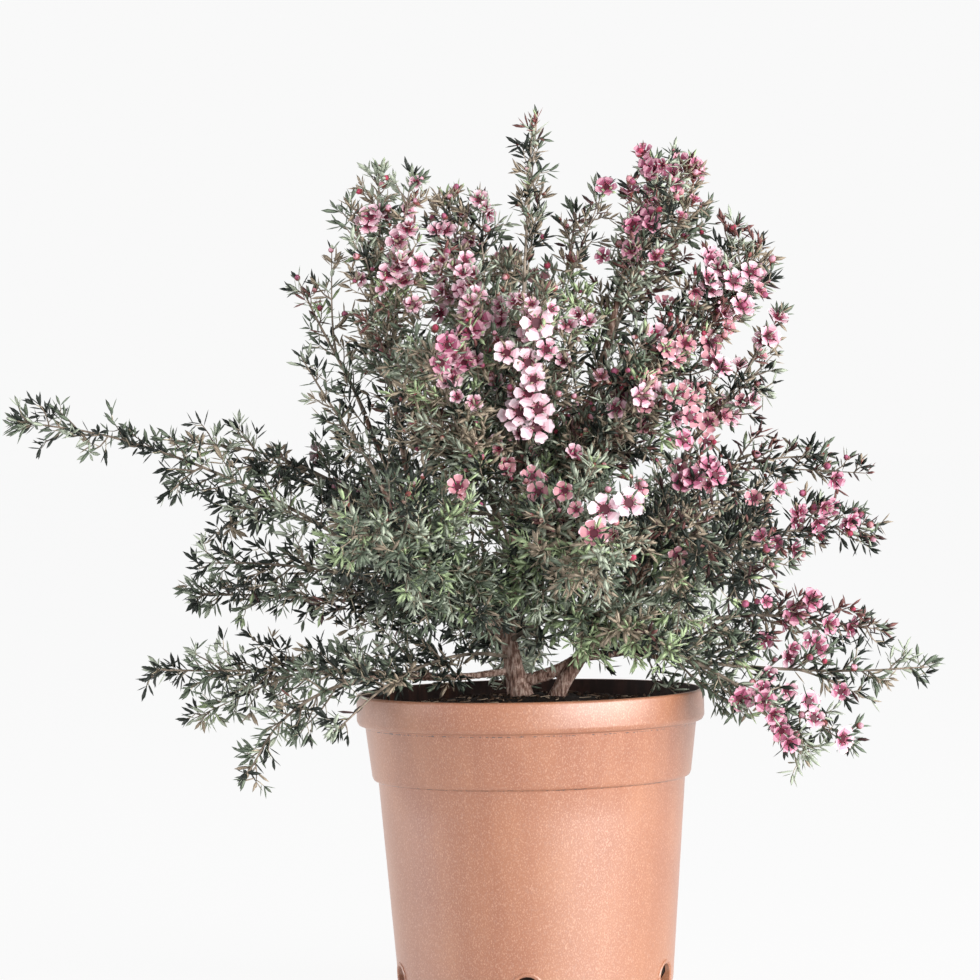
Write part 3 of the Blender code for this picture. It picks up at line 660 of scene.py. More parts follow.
def tubes(drawing, courses, radii, sides, shade=0):
    """Adds closed tubes that all have the same number of points."""
    courses = np.asarray(courses, float)
    radii = np.asarray(radii, float)
    count = courses.shape[1]
    ahead = np.gradient(courses, axis=1)
    ahead /= np.linalg.norm(ahead, axis=2, keepdims=True)
    chord = courses[:, -1] - courses[:, 0]
    upright = np.abs(chord[:, 2]) > 0.8 * np.linalg.norm(chord, axis=1)
    square = np.where(upright[:, None], (0.6, 0.8, 0), (0, 0, 1))
    aside = np.cross(ahead, square[:, None])
    aside /= np.linalg.norm(aside, axis=2, keepdims=True)
    above = np.cross(aside, ahead)
    turns = np.arange(sides) / sides * math.tau
    ring = aside[:, :, None] * np.cos(turns)[:, None] + above[:, :, None] * np.sin(turns)[:, None]
    corners = courses[:, :, None] + ring * radii[..., None, None]
    walls = []
    for i in range(count - 1):
        for j in range(sides):
            k = (j + 1) % sides
            walls.append((i * sides + j, (i + 1) * sides + j, (i + 1) * sides + k, i * sides + k))
    last = (count - 1) * sides
    caps = [list(range(sides)), [last + sides - 1 - j for j in range(sides)]]
    drawing.add(corners.reshape(len(courses), count * sides, 3), [walls, caps], shade)


# Materials


def node(tree, kind, settings=None, **inputs):
    """Adds a node; an input is a value or a socket, and its name may be a number after 'at'."""
    made = tree.nodes.new(kind)
    for key, value in (settings or {}).items():
        setattr(made, key, value)
    for key, value in inputs.items():
        socket = made.inputs[int(key[2:])] if key[:2] == "at" and key[2:].isdigit() else made.inputs[key]
        if isinstance(value, bpy.types.NodeSocket):
            tree.links.new(value, socket)
        else:
            socket.default_value = value
    return made


def ramp(tree, factor, stops):
    """A colour that changes along a factor: stops of position and colour, or of position and grey level."""
    made = node(tree, "ShaderNodeValToRGB", Fac=factor)
    elements = made.color_ramp.elements
    for index, (position, tone) in enumerate((stops[0], stops[-1], *stops[1:-1])):
        stop = elements[index] if index < 2 else elements.new(position)
        stop.position = position
        stop.color = (*tone, 1) if isinstance(tone, tuple) else (tone, tone, tone, 1)
    return made.outputs["Color"]


def sums(tree, operation, a, b=0.0):
    return node(tree, "ShaderNodeMath", {"operation": operation}, at0=a, at1=b).outputs[0]


def blend(tree, a, b, share):
    """Two factors added, the first by its share and the second by the rest."""
    return sums(tree, "ADD", sums(tree, "MULTIPLY", a, share), sums(tree, "MULTIPLY", b, 1 - share))


def mixed(tree, factor, a, b):
    return node(tree, "ShaderNodeMix", {"data_type": "RGBA"}, at0=factor, at6=a, at7=b).outputs[2]


def spots(tree, vector, scale, detail=2.0, roughness=0.5):
    values = {"Vector": vector, "Scale": scale, "Detail": detail, "Roughness": roughness}
    return node(tree, "ShaderNodeTexNoise", **values).outputs["Fac"]


def stretched(tree, places, scale):
    return node(tree, "ShaderNodeMapping", Vector=places, Scale=scale).outputs["Vector"]


def bumped(tree, shader, height, distance, strength=1.0):
    bump = node(tree, "ShaderNodeBump", Height=height, Distance=distance, Strength=strength)
    tree.links.new(bump.outputs["Normal"], shader.inputs["Normal"])


def new_paint(name, **values):
    """A new material with its tree, and its shader with the given values."""
    made = bpy.data.materials.new(name)
    made.use_nodes = True
    shader = made.node_tree.nodes["Principled BSDF"]
    for key, value in values.items():
        shader.inputs[key.replace("_", " ")].default_value = value
    return made, made.node_tree, shader


def textured_paint(name, roughness, specular, **values):
    """A new paint and the piece's own places as a vector."""
    made, tree, shader = new_paint(name, Roughness=roughness, Specular_IOR_Level=specular, **values)
    return made, tree, shader, tree.nodes.new("ShaderNodeTexCoord").outputs["Object"]


def flat_paint(name, colour):
    return new_paint(name, Base_Color=(*colour, 1), Roughness=0.5, Specular_IOR_Level=0.35)[0]


def scaled(colour, *shares):
    """A colour times one share, or times a share for each channel."""
    return tuple(min(c * k, 1) for c, k in zip(colour, shares if len(shares) == 3 else shares * 3))


# Dark specks in a narrow strip just under the rim's step and the band's step: their colour, how far the strip
# spreads, and its heights.
STEP_SPECK = (0.10, 0.05, 0.035, 1)
GRAIN = (0.36, 0.17, 0.11, 1)
STEP_SPECK_SPREAD = 1.6 * MM
STEP_SPECK_LEVELS = (POT_HEIGHT - RIM_DEPTH - 1.5 * MM, POT_HEIGHT - BAND_DEPTH - 0.5 * MM)


def plastic_paint(pot):
    """Terracotta plastic: streaked and flecked, with dark specks just under each of the two steps."""
    coat = {"Coat_Weight": 1.0, "Coat_Roughness": 0.48, "Coat_IOR": 1.7}
    made, tree, shader, places = textured_paint("terracotta_plastic", 0.45, 0.5, **coat)
    streaks = spots(tree, stretched(tree, places, (60, 60, 6)), 1.0, 4, 0.6)
    clouds = spots(tree, places, 22, 3, 0.55)
    base = tuple(pot.colour)
    stops = [(0.34, scaled(base, 0.84, 0.74, 0.70)), (0.5, base), (0.66, scaled(base, 1.12, 1.22, 1.26))]
    colour = ramp(tree, blend(tree, streaks, clouds, 0.5), stops)
    flecks = spots(tree, stretched(tree, places, (1, 1, 0.6)), 1900)
    colour = mixed(tree, ramp(tree, flecks, [(0.52, 0), (0.70, 0.5)]), colour, (*pot.speckle, 1))
    grains = spots(tree, stretched(tree, places, (1, 1, 0.5)), 1300)
    colour = mixed(tree, ramp(tree, grains, [(0.30, 0.55), (0.46, 0)]), colour, GRAIN)
    height = node(tree, "ShaderNodeSeparateXYZ", Vector=places).outputs["Z"]
    speck_noise = spots(tree, places, 520, 3, 0.6)
    # Dark specks just under each step.
    for level in STEP_SPECK_LEVELS:
        away = sums(tree, "ABSOLUTE", sums(tree, "SUBTRACT", height, level))
        near = sums(tree, "SUBTRACT", 1.0, sums(tree, "MULTIPLY", away, 1 / STEP_SPECK_SPREAD))
        near = sums(tree, "MAXIMUM", near, 0.0)
        speck = sums(tree, "GREATER_THAN", sums(tree, "MULTIPLY", near, speck_noise), 0.50)
        colour = mixed(tree, speck, colour, STEP_SPECK)
    tree.links.new(colour, shader.inputs["Base Color"])
    bumped(tree, shader, spots(tree, places, 420, 4, 0.6), 0.25 * MM, 0.5)
    return made


def shaded_lining_paint(pot):
    """Painted shade on the pot's inside: the inner wall is painted dark as if in shadow, with paler runs up
    to the rim.
    """
    made, tree, shader, places = textured_paint("stained_lining", 0.7, 0.3)
    runs = spots(tree, stretched(tree, places, (120, 120, 30)), 1.0, 4, 0.6)
    stops = [(0.44, (0.020, 0.009, 0.007)), (0.60, (0.055, 0.022, 0.016)), (0.78, scaled(pot.colour, 0.35))]
    tree.links.new(ramp(tree, runs, stops), shader.inputs["Base Color"])
    bumped(tree, shader, spots(tree, places, 420, 4, 0.6), 0.3 * MM, 0.5)
    return made


def speckled_paint(name, roughness, specular, noise_values, stops):
    """A paint whose colour follows one noise."""
    made, tree, shader, places = textured_paint(name, roughness, specular)
    tree.links.new(ramp(tree, spots(tree, places, *noise_values), stops), shader.inputs["Base Color"])
    return made, tree, shader, places


def soil_paint(pot):
    stops = [(0.35, scaled(pot.soil, 0.4)), (0.6, tuple(pot.soil)), (0.8, (0.09, 0.06, 0.042))]
    made, tree, shader, places = speckled_paint("potting_soil", 0.95, 0.2, (260, 5, 0.7), stops)
    bumped(tree, shader, spots(tree, places, 500, 5, 0.7), 0.8 * MM)
    return made


CRUMB_TONES = [
    (0.3, (0.012, 0.008, 0.006)),
    (0.5, (0.035, 0.020, 0.013)),
    (0.66, (0.10, 0.06, 0.04)),
    (0.74, (0.34, 0.24, 0.17)),
]
FIBRE_TONES = [(0.35, (0.16, 0.09, 0.055)), (0.65, (0.52, 0.40, 0.30))]


def bark_paint(wood):
    """Peeling bark: reddish brown strips with dark cracks and pale flakes."""
    made, tree, shader, places = textured_paint("bark", 0.85, 0.25)
    strips = spots(tree, stretched(tree, places, (900, 900, 160)), 1.0, 4, 0.65)
    patches = spots(tree, places, 120, 3, 0.6)
    stops = [(0.36, tuple(wood.dark)), (0.48, tuple(wood.bark)), (0.60, tuple(wood.pale))]
    tree.links.new(ramp(tree, blend(tree, strips, patches, 0.65), stops), shader.inputs["Base Color"])
    bumped(tree, shader, strips, 0.4 * MM, 0.9)
    return made


# Painted highlight: young bark is painted greyer and paler up in the lit part of the crown: where that starts
# and ends, up (doubled) and across (plus a half)
CROWN_HIGHLIGHT = (0.44, 0.37, 0.31, 1)
HIGHLIGHT_UP = [(0.48, 0), (0.64, 0.6)]
HIGHLIGHT_ACROSS = [(0.39, 0), (0.43, 1)]


def twig_paint(name, colour):
    """Young bark, with a painted highlight that makes it greyer and paler up in the crown."""
    colour = tuple(colour)
    pale = tuple(min(c * 1.9 + 0.03, 1) for c in colour)
    made, tree, shader, places = textured_paint(name, 0.8, 0.3)
    stops = [(0.34, scaled(colour, 0.45)), (0.5, colour), (0.66, pale)]
    bark = ramp(tree, spots(tree, places, 140, 3, 0.6), stops)
    parts = node(tree, "ShaderNodeSeparateXYZ", Vector=places).outputs
    # Painted highlight: the paler colour covers twigs high up and right of the crown's left side.
    high = ramp(tree, sums(tree, "MULTIPLY", parts["Z"], 2), HIGHLIGHT_UP)
    inner = ramp(tree, sums(tree, "ADD", parts["X"], 0.5), HIGHLIGHT_ACROSS)
    crown = sums(tree, "MULTIPLY", high, inner)
    tree.links.new(mixed(tree, crown, bark, CROWN_HIGHLIGHT), shader.inputs["Base Color"])
    return made


# Pot


def pot_outline():
    """Radius and height up the outer side, from the flat underside to the rim."""
    rim_foot = POT_HEIGHT - RIM_DEPTH
    band_foot = POT_HEIGHT - BAND_DEPTH
    outline = []
    for turn in range(FOOT_TURNS + 1):
        angle = math.radians(90) * (1 - turn / FOOT_TURNS)
        radius = FOOT_FLAT_RADIUS + (BODY_FOOT_RADIUS - FOOT_FLAT_RADIUS) * math.cos(angle)
        outline.append((radius, FOOT_ROUND * (1 - math.sin(angle))))
    for ring in range(1, BODY_RINGS):
        share = ring / BODY_RINGS
        radius = BODY_FOOT_RADIUS + (BODY_TOP_RADIUS - BODY_FOOT_RADIUS) * share
        outline.append((radius, FOOT_ROUND + (band_foot - LIP - FOOT_ROUND) * share))
    return outline + [
        (BODY_TOP_RADIUS, band_foot - LIP),
        (BAND_FOOT_RADIUS - LIP, band_foot),
        (BAND_FOOT_RADIUS, band_foot + STEP),
        (BAND_TOP_RADIUS, rim_foot - 0.6 * MM),
        (RIM_RADIUS - 1 * MM, rim_foot),
        (RIM_RADIUS, rim_foot + STEP),
        (RIM_RADIUS, POT_HEIGHT - 1 * MM),
        (RIM_RADIUS - LIP, POT_HEIGHT),
    ]


def pot_lining():
    """Radius and height up the inner side, from the floor to the rim."""
    return [
        (FOOT_FLAT_RADIUS - WALL, FLOOR),
        (BODY_FOOT_RADIUS - WALL, FOOT_ROUND),
        (BODY_TOP_RADIUS - WALL, POT_HEIGHT - BAND_DEPTH),
        (BAND_TOP_RADIUS - WALL, POT_HEIGHT - RIM_DEPTH),
        (RIM_RADIUS - WALL, POT_HEIGHT - RIM_DEPTH + STEP),
        (RIM_RADIUS - WALL, POT_HEIGHT),
    ]


def notch_bearings():
    return [FIRST_NOTCH + math.tau * index / NOTCHES for index in range(NOTCHES)]


def round_axis(bearing, radius, height):
    """A place at a bearing and a radius from the pot's axis."""
    return (math.cos(bearing) * radius, math.sin(bearing) * radius, height)


def cut_notches(pot):
    """Cuts the drainage notches through the foot with round-topped cutters."""
    for bearing in notch_bearings():
        deselect()
        bpy.ops.mesh.primitive_cylinder_add(
            vertices=NOTCH_SIDES,
            radius=NOTCH_RADIUS,
            depth=NOTCH_LENGTH,
            location=round_axis(bearing, NOTCH_AT, NOTCH_TOP - NOTCH_RADIUS),
            rotation=(math.radians(90), 0, bearing + math.radians(90)),
        )
        cutter = bpy.context.object
        for vert in cutter.data.vertices:
            if vert.co.y < -NOTCH_RADIUS / 10:
                vert.co.y -= NOTCH_TOP
        choose(pot)
        apply_modifier(pot, "BOOLEAN", operation="DIFFERENCE", solver="EXACT", object=cutter)
        bpy.data.objects.remove(cutter, do_unlink=True)


def arch_ridges():
    """The raised arch that frames each notch, laid on the wall of the pot."""
    radii, heights = zip(*pot_outline())
    reach = NOTCH_RADIUS + ARCH_GAP
    top = NOTCH_TOP - NOTCH_RADIUS
    leg = np.linspace(ARCH_FOOT, top, ARCH_LEG_STEPS)[:-1]
    flat = [(-reach, height) for height in leg]
    for step in range(ARCH_STEPS + 1):
        angle = math.pi * step / ARCH_STEPS
        flat.append((-math.cos(angle) * reach, top + math.sin(angle) * reach))
    flat += [(reach, height) for height in leg[::-1]]
    courses = []
    for bearing in notch_bearings():
        course = []
        for across, height in flat:
            radius = np.interp(height, heights, radii) - ARCH_SUNK
            course.append(round_axis(bearing + across / radius, radius, height))
        courses.append(course)
    drawing = Drawing()
    tubes(drawing, courses, np.full((len(courses), len(flat)), ARCH_RADIUS), ARCH_SIDES)
    return placed("arch_ridges", drawing)


class MANUKA_OT_pot(bpy.types.Operator):
    """Makes the plastic pot with its rim, band, foot and drainage notches."""

    bl_idname = "manuka.pot"
    bl_label = "Pot"

    def execute(self, context):
        settings = context.scene.manuka_pot
        pot = raised_rings("pot_shell", pot_outline() + pot_lining()[::-1], settings.sides)
        choose(pot)
        bevel = {"limit_method": "ANGLE", "angle_limit": BEVEL_ANGLE}
        apply_modifier(pot, "BEVEL", width=settings.edge, segments=2, **bevel)
        cut_notches(pot)
        ridges = arch_ridges()
        choose(pot)
        ridges.select_set(True)
        bpy.ops.object.join()
        choose(pot)
        bpy.ops.object.shade_smooth_by_angle(angle=POT_CREASE)
        finished(pot, "terracotta_plastic", ["pot"], plastic_paint(settings), shaded_lining_paint(settings))
        # Inward faces from just under the soil's edge up to the rim take the second paint, the painted shade
        # of the pot's inside.
        for face in pot.data.polygons:
            outward = face.normal.xy.dot(face.center.xy)
            if outward < -face.center.xy.length * 0.5 and face.center.z > SOIL_EDGE - LINING_DEPTH:
                face.material_index = 1
        return {"FINISHED"}


# Soil


def soil_height(radius):
    share = min(radius / (RIM_RADIUS - WALL), 1)
    return SOIL_EDGE + (SOIL_MOUND - SOIL_EDGE) * (0.5 + 0.5 * math.cos(math.pi * share))


def soil_top(x, y):
    """The height of the soil's lumpy surface."""
    lumps = [noise.noise(Vector((x * scale, y * scale, layer))) * rise for scale, layer, rise in SOIL_LUMPS]
    return soil_height(math.hypot(x, y)) + sum(lumps)


def scattered(draw, count, inner, outer):
    """Places spread evenly over a ring."""
    places = []
    for _ in range(count):
        radius = math.sqrt(draw.uniform(inner**2, outer**2))
        places.append(round_axis(draw.uniform(0, math.tau), radius, 0)[:2])
    return places


LUMP_CORNERS = [(0, 0, 1), (0, 0, -1)] + [
    (math.cos(math.tau * i / 5) * 0.9, math.sin(math.tau * i / 5) * 0.9, 0.42 * (-1) ** i) for i in range(5)
]
LUMP_FACES = [(0, 2 + i, 2 + (i + 1) % 5) for i in range(5)] + [(1, 2 + (i + 1) % 5, 2 + i) for i in range(5)]


class MANUKA_OT_soil(bpy.types.Operator):
    """Makes the soil that fills the pot, with crumbs of bark and pale fibres on it."""

    bl_idname = "manuka.soil"
    bl_label = "Soil"

    def execute(self, context):
        settings = context.scene.manuka_pot
        profile = [(radius - GAP, height + GAP) for radius, height in pot_lining()[:-1]]
        edge = RIM_RADIUS - WALL - GAP
        profile += [(edge * (1 - ring / SOIL_RINGS), soil_height(edge)) for ring in range(SOIL_RINGS)]
        bed = raised_rings("soil_bed", profile, SOIL_SIDES)
        for vert in bed.data.vertices:
            if vert.co.z > SOIL_EDGE - 0.1 * MM:
                vert.co.z = soil_top(vert.co.x, vert.co.y)
        choose(bed)
        bpy.ops.object.shade_smooth_by_angle(angle=SOIL_CREASE)
        crumb = speckled_paint("bark_crumbs", 0.9, 0.2, (180, 2), CRUMB_TONES)[0]
        fibre = speckled_paint("coir_fibres", 0.8, 0.3, (90, 1), FIBRE_TONES)[0]
        finished(bed, "potting_soil", ["soil"], soil_paint(settings))
        finished(self.crumbs(settings.crumbs), "potting_soil", ["soil"], crumb)
        finished(self.fibres(settings.fibres), "potting_soil", ["soil"], fibre)
        return {"FINISHED"}

    @staticmethod
    def crumbs(count):
        draw = random.Random(SEED)
        lumps = []
        for x, y in scattered(draw, count, 0, RIM_RADIUS - WALL - CRUMB_MARGIN):
            size = draw.choice(CRUMB_SIZES) * MM * draw.uniform(0.8, 1.2)
            stretch = [size * draw.uniform(*spread) for spread in CRUMB_SHAPE]
            turned = Matrix.Rotation(draw.uniform(0, math.tau), 3, "Z")
            rolled = turned @ Matrix.Rotation(draw.uniform(-CRUMB_ROLL, CRUMB_ROLL), 3, "X")
            at = Vector((x, y, soil_top(x, y) + size * 0.1))
            shaped = [Vector([c * s for c, s in zip(corner, stretch)]) for corner in LUMP_CORNERS]
            lumps.append([at + rolled @ corner for corner in shaped])
        drawing = Drawing()
        drawing.add(lumps, [LUMP_FACES])
        return placed("soil_crumbs", drawing)

    @staticmethod
    def fibres(count):
        draw = random.Random(SEED + 1)
        courses = []
        for x, y in scattered(draw, count, FIBRE_MARGIN, RIM_RADIUS - WALL - FIBRE_MARGIN):
            turn = draw.uniform(0, math.tau)
            bend = draw.uniform(-FIBRE_BEND, FIBRE_BEND)
            length = draw.uniform(*FIBRE_LENGTH) * MM
            course = []
            for step in range(FIBRE_POINTS):
                along = length * (step / (FIBRE_POINTS - 1) - 0.5)
                px = x + math.cos(turn + bend * step) * along
                py = y + math.sin(turn + bend * step) * along
                course.append((px, py, soil_top(px, py) + FIBRE_LIFT))
            courses.append(course)
        drawing = Drawing()
        tubes(drawing, courses, np.full((len(courses), FIBRE_POINTS), FIBRE_RADIUS), 4)
        return placed("soil_fibres", drawing)


# Limbs


class Limb:
    """A course of points with a radius at each one."""

    def __init__(self, name, points, radii):
        self.name = name
        self.points = [Vector(point) for point in points]
        self.radii = radii

    def at(self, share):
        """The point, direction and radius part of the way along."""
        place_along = share * (len(self.points) - 1)
        index = min(int(place_along), len(self.points) - 2)
        rest = place_along - index
        start, end = self.points[index], self.points[index + 1]
        radius = self.radii[index] * (1 - rest) + self.radii[index + 1] * rest
        return start.lerp(end, rest), (end - start).normalized(), radius

    def length(self):
        return sum((b - a).length for a, b in zip(self.points, self.points[1:]))


def through(points, steps):
    """A smooth course through a few points."""
    knots = [2 * points[0] - points[1], *points, 2 * points[-1] - points[-2]]
    course = []
    for step in range(steps + 1):
        along = step / steps * (len(points) - 1)
        index = min(int(along), len(points) - 2)
        t = along - index
        a, b, c, d = knots[index : index + 4]
        square = (2 * a - 5 * b + 4 * c - d) * t**2
        cube = (3 * b - a - 3 * c + d) * t**3
        course.append(0.5 * (2 * b + (c - a) * t + square + cube))
    return course


def cubic(a, b, c, d, steps):
    course = []
    for step in range(steps + 1):
        t = step / steps
        course.append(a * (1 - t) ** 3 + 3 * b * t * (1 - t) ** 2 + 3 * c * t**2 * (1 - t) + d * t**3)
    return course


def taper(foot, tip, count):
    return [foot + (tip - foot) * i / (count - 1) for i in range(count)]


def trunk_limb():
    course = through([Vector(point) * MM for point in TRUNK_COURSE], TRUNK_STEPS)
    radii = taper(TRUNK_FOOT_RADIUS, TRUNK_TIP_RADIUS, len(course))
    for index, point in enumerate(course):
        radii[index] += ROOT_FLARE * math.exp(-max(point.z - TRUNK_CUT, 0) / FLARE_HEIGHT)
    return Limb("trunk", course, radii)


def bough_limb(name, carrier, share, tip, sweep, foot_radius, tip_radius):
    foot = carrier.at(share)[0]
    end = Vector(tip) * MM
    bow = Vector(sweep) * MM * 4 / 3
    steps = LONG_BOUGH_STEPS if (end - foot).length > LONG_BOUGH else SHORT_BOUGH_STEPS
    course = cubic(foot, foot.lerp(end, 0.33) + bow, foot.lerp(end, 0.67) + bow, end, steps)
    return Limb(name, course, taper(foot_radius * MM, tip_radius * MM, len(course)))


def spray_limb(name, carrier, share, tip, sweep):
    """The stem of a spray. On a tip it runs straight on from the limb."""
    foot, direction, _ = carrier.at(share)
    end = Vector(tip) * MM
    end -= (end - foot).normalized() * TIP_LEAF_LENGTH
    reach = (end - foot).length
    if share < 1:
        direction = ((end - foot).normalized() + direction * CARRIER_PULL).normalized()
    near = foot + direction * reach * STEM_BEND
    far = end - (end - near).normalized() * reach * STEM_BEND + Vector(sweep) * MM
    course = cubic(foot, near, far, end, SPRAY_STEPS)
    if share == 1:
        turn = (course[1] - course[0]).angle(direction)
        course[0] = foot + direction * (GAP + SPRAY_FOOT_RADIUS * math.sin(turn))
    return Limb(name, course, taper(SPRAY_FOOT_RADIUS, SPRAY_TIP_RADIUS, len(course)))


@lru_cache(maxsize=1)
def limbs():
    """The trunk and boughs by name."""
    made = {"trunk": trunk_limb()}
    for name, carrier, *rest in BOUGHS:
        made[name] = bough_limb(name, made[carrier], *rest)
    return made


# The bark's relief: strips that run along a limb and flakes on them
STRIPS_ROUND = 2.6
STRIPS_ALONG = 90
STRIPS_APART = 5
STRIP_SHARE = 0.65
FLAKES = (700, 700, 260)
FLAKE_SHARE = 0.45
DEEPEST_RELIEF = 1.3
BARK_SIDES = 12
STEM_SIDES = 6
TWIG_SIDES = 4
SHOOT_SIDES = 3


def drawn_course(limb, steps):
    """The limb's course with more points, and a radius at each."""
    course = through(limb.points, steps)
    radii = np.interp(np.linspace(0, 1, steps + 1), np.linspace(0, 1, len(limb.radii)), limb.radii)
    return course, radii


def peel(obj, relief):
    """Raises strips and flakes along each limb, deepest on the trunk."""
    samples = []
    for number, limb in enumerate(limbs().values()):
        course, radii = drawn_course(limb, max(8, int(limb.length() / (0.8 * MM))))
        along = 0.0
        for here, after, radius in zip(course, course[1:], radii):
            ahead = (after - here).normalized()
            samples.append((here, ahead, radius, along, number))
            along += (after - here).length
    tree = kdtree.KDTree(len(samples))
    for index, sample in enumerate(samples):
        tree.insert(sample[0], index)
    tree.balance()
    normals = [vert.normal.copy() for vert in obj.data.vertices]
    for vert, normal in zip(obj.data.vertices, normals):
        _, index, _ = tree.find(vert.co)
        here, ahead, radius, along, number = samples[index]
        out = vert.co - here
        out = (out - ahead * out.dot(ahead)).normalized()
        offset = Vector((0, number * STRIPS_APART, along * STRIPS_ALONG))
        strip = noise.noise(out * STRIPS_ROUND + offset)
        flake = noise.noise(vert.co * Vector(FLAKES))
        depth = relief * min(radius / TRUNK_FOOT_RADIUS, DEEPEST_RELIEF)
        vert.co += normal * (strip * STRIP_SHARE + flake * FLAKE_SHARE) * depth


class MANUKA_OT_limbs(bpy.types.Operator):
    """Makes the trunk and boughs as one peeling mass of bark, grown together at the forks."""

    bl_idname = "manuka.limbs"
    bl_label = "Trunk and boughs"

    def execute(self, context):
        settings = context.scene.manuka_wood
        drawing = Drawing()
        for limb in limbs().values():
            course, radii = drawn_course(limb, 3 * (len(limb.points) - 1))
            tubes(drawing, [course], [radii], BARK_SIDES)
        for points, (foot, tip) in SIDE_STEMS:
            course = through([Vector(point) * MM for point in points], SIDE_STEM_STEPS)
            tubes(drawing, [course], [taper(foot * MM, tip * MM, len(course))], BARK_SIDES)
        bark = choose(placed("bark_limbs", drawing))
        apply_modifier(bark, "REMESH", mode="VOXEL", voxel_size=settings.grain)
        apply_modifier(bark, "SMOOTH", factor=0.6, iterations=5)
        peel(bark, settings.relief)
        bpy.ops.object.shade_smooth()
        finished(bark, "bark", list(limbs()), bark_paint(settings))
        return {"FINISHED"}


# Twigs and leaves


def turned_aside(direction, side, angle):
    return (direction * math.cos(angle) + side * math.sin(angle)).normalized()


def side_of(direction, turn):
    """A direction square to the given one, turned about it from the vertical."""
    base = direction.cross(Vector((0, 1, 0.001))).normalized()
    return Matrix.Rotation(turn, 3, direction) @ base


def twig_course(stem, share, turn, length, angle=TWIG_ANGLE):
    """A twig that leaves its stem at an angle and bends back towards the stem's own direction."""
    foot, direction, _ = stem.at(share)
    out = turned_aside(direction, side_of(direction, turn), angle)
    middle = foot + out * length * 0.5
    onward = (out + direction * TWIG_ONWARD + Vector((0, 0, TWIG_RISE))).normalized()
    return [foot, middle, middle + onward * length * 0.5]


def clear_of_pot(point, margin=POT_MARGIN):
    """Whether a point is outside the pot and the soil, and doesn't hang down in front of the rim."""
    radius = math.hypot(point.x, point.y)
    if point.z < POT_HEIGHT + margin and abs(point.x) < RIM_RADIUS and point.y < -RIM_RADIUS * 0.5:
        return False
    if point.z < POT_HEIGHT + margin and radius < RIM_RADIUS + margin:
        return RIM_RADIUS - WALL - margin > radius and point.z > soil_height(radius) + margin
    return True


def spaced(first, last, count):
    """Shares of a course from first to last, each in the middle of its step."""
    return [first + (last - first) * (number + 0.5) / count for number in range(count)]


def onward(points):
    """Which way the end of a course points."""
    return (points[-1] - points[-2]).normalized()


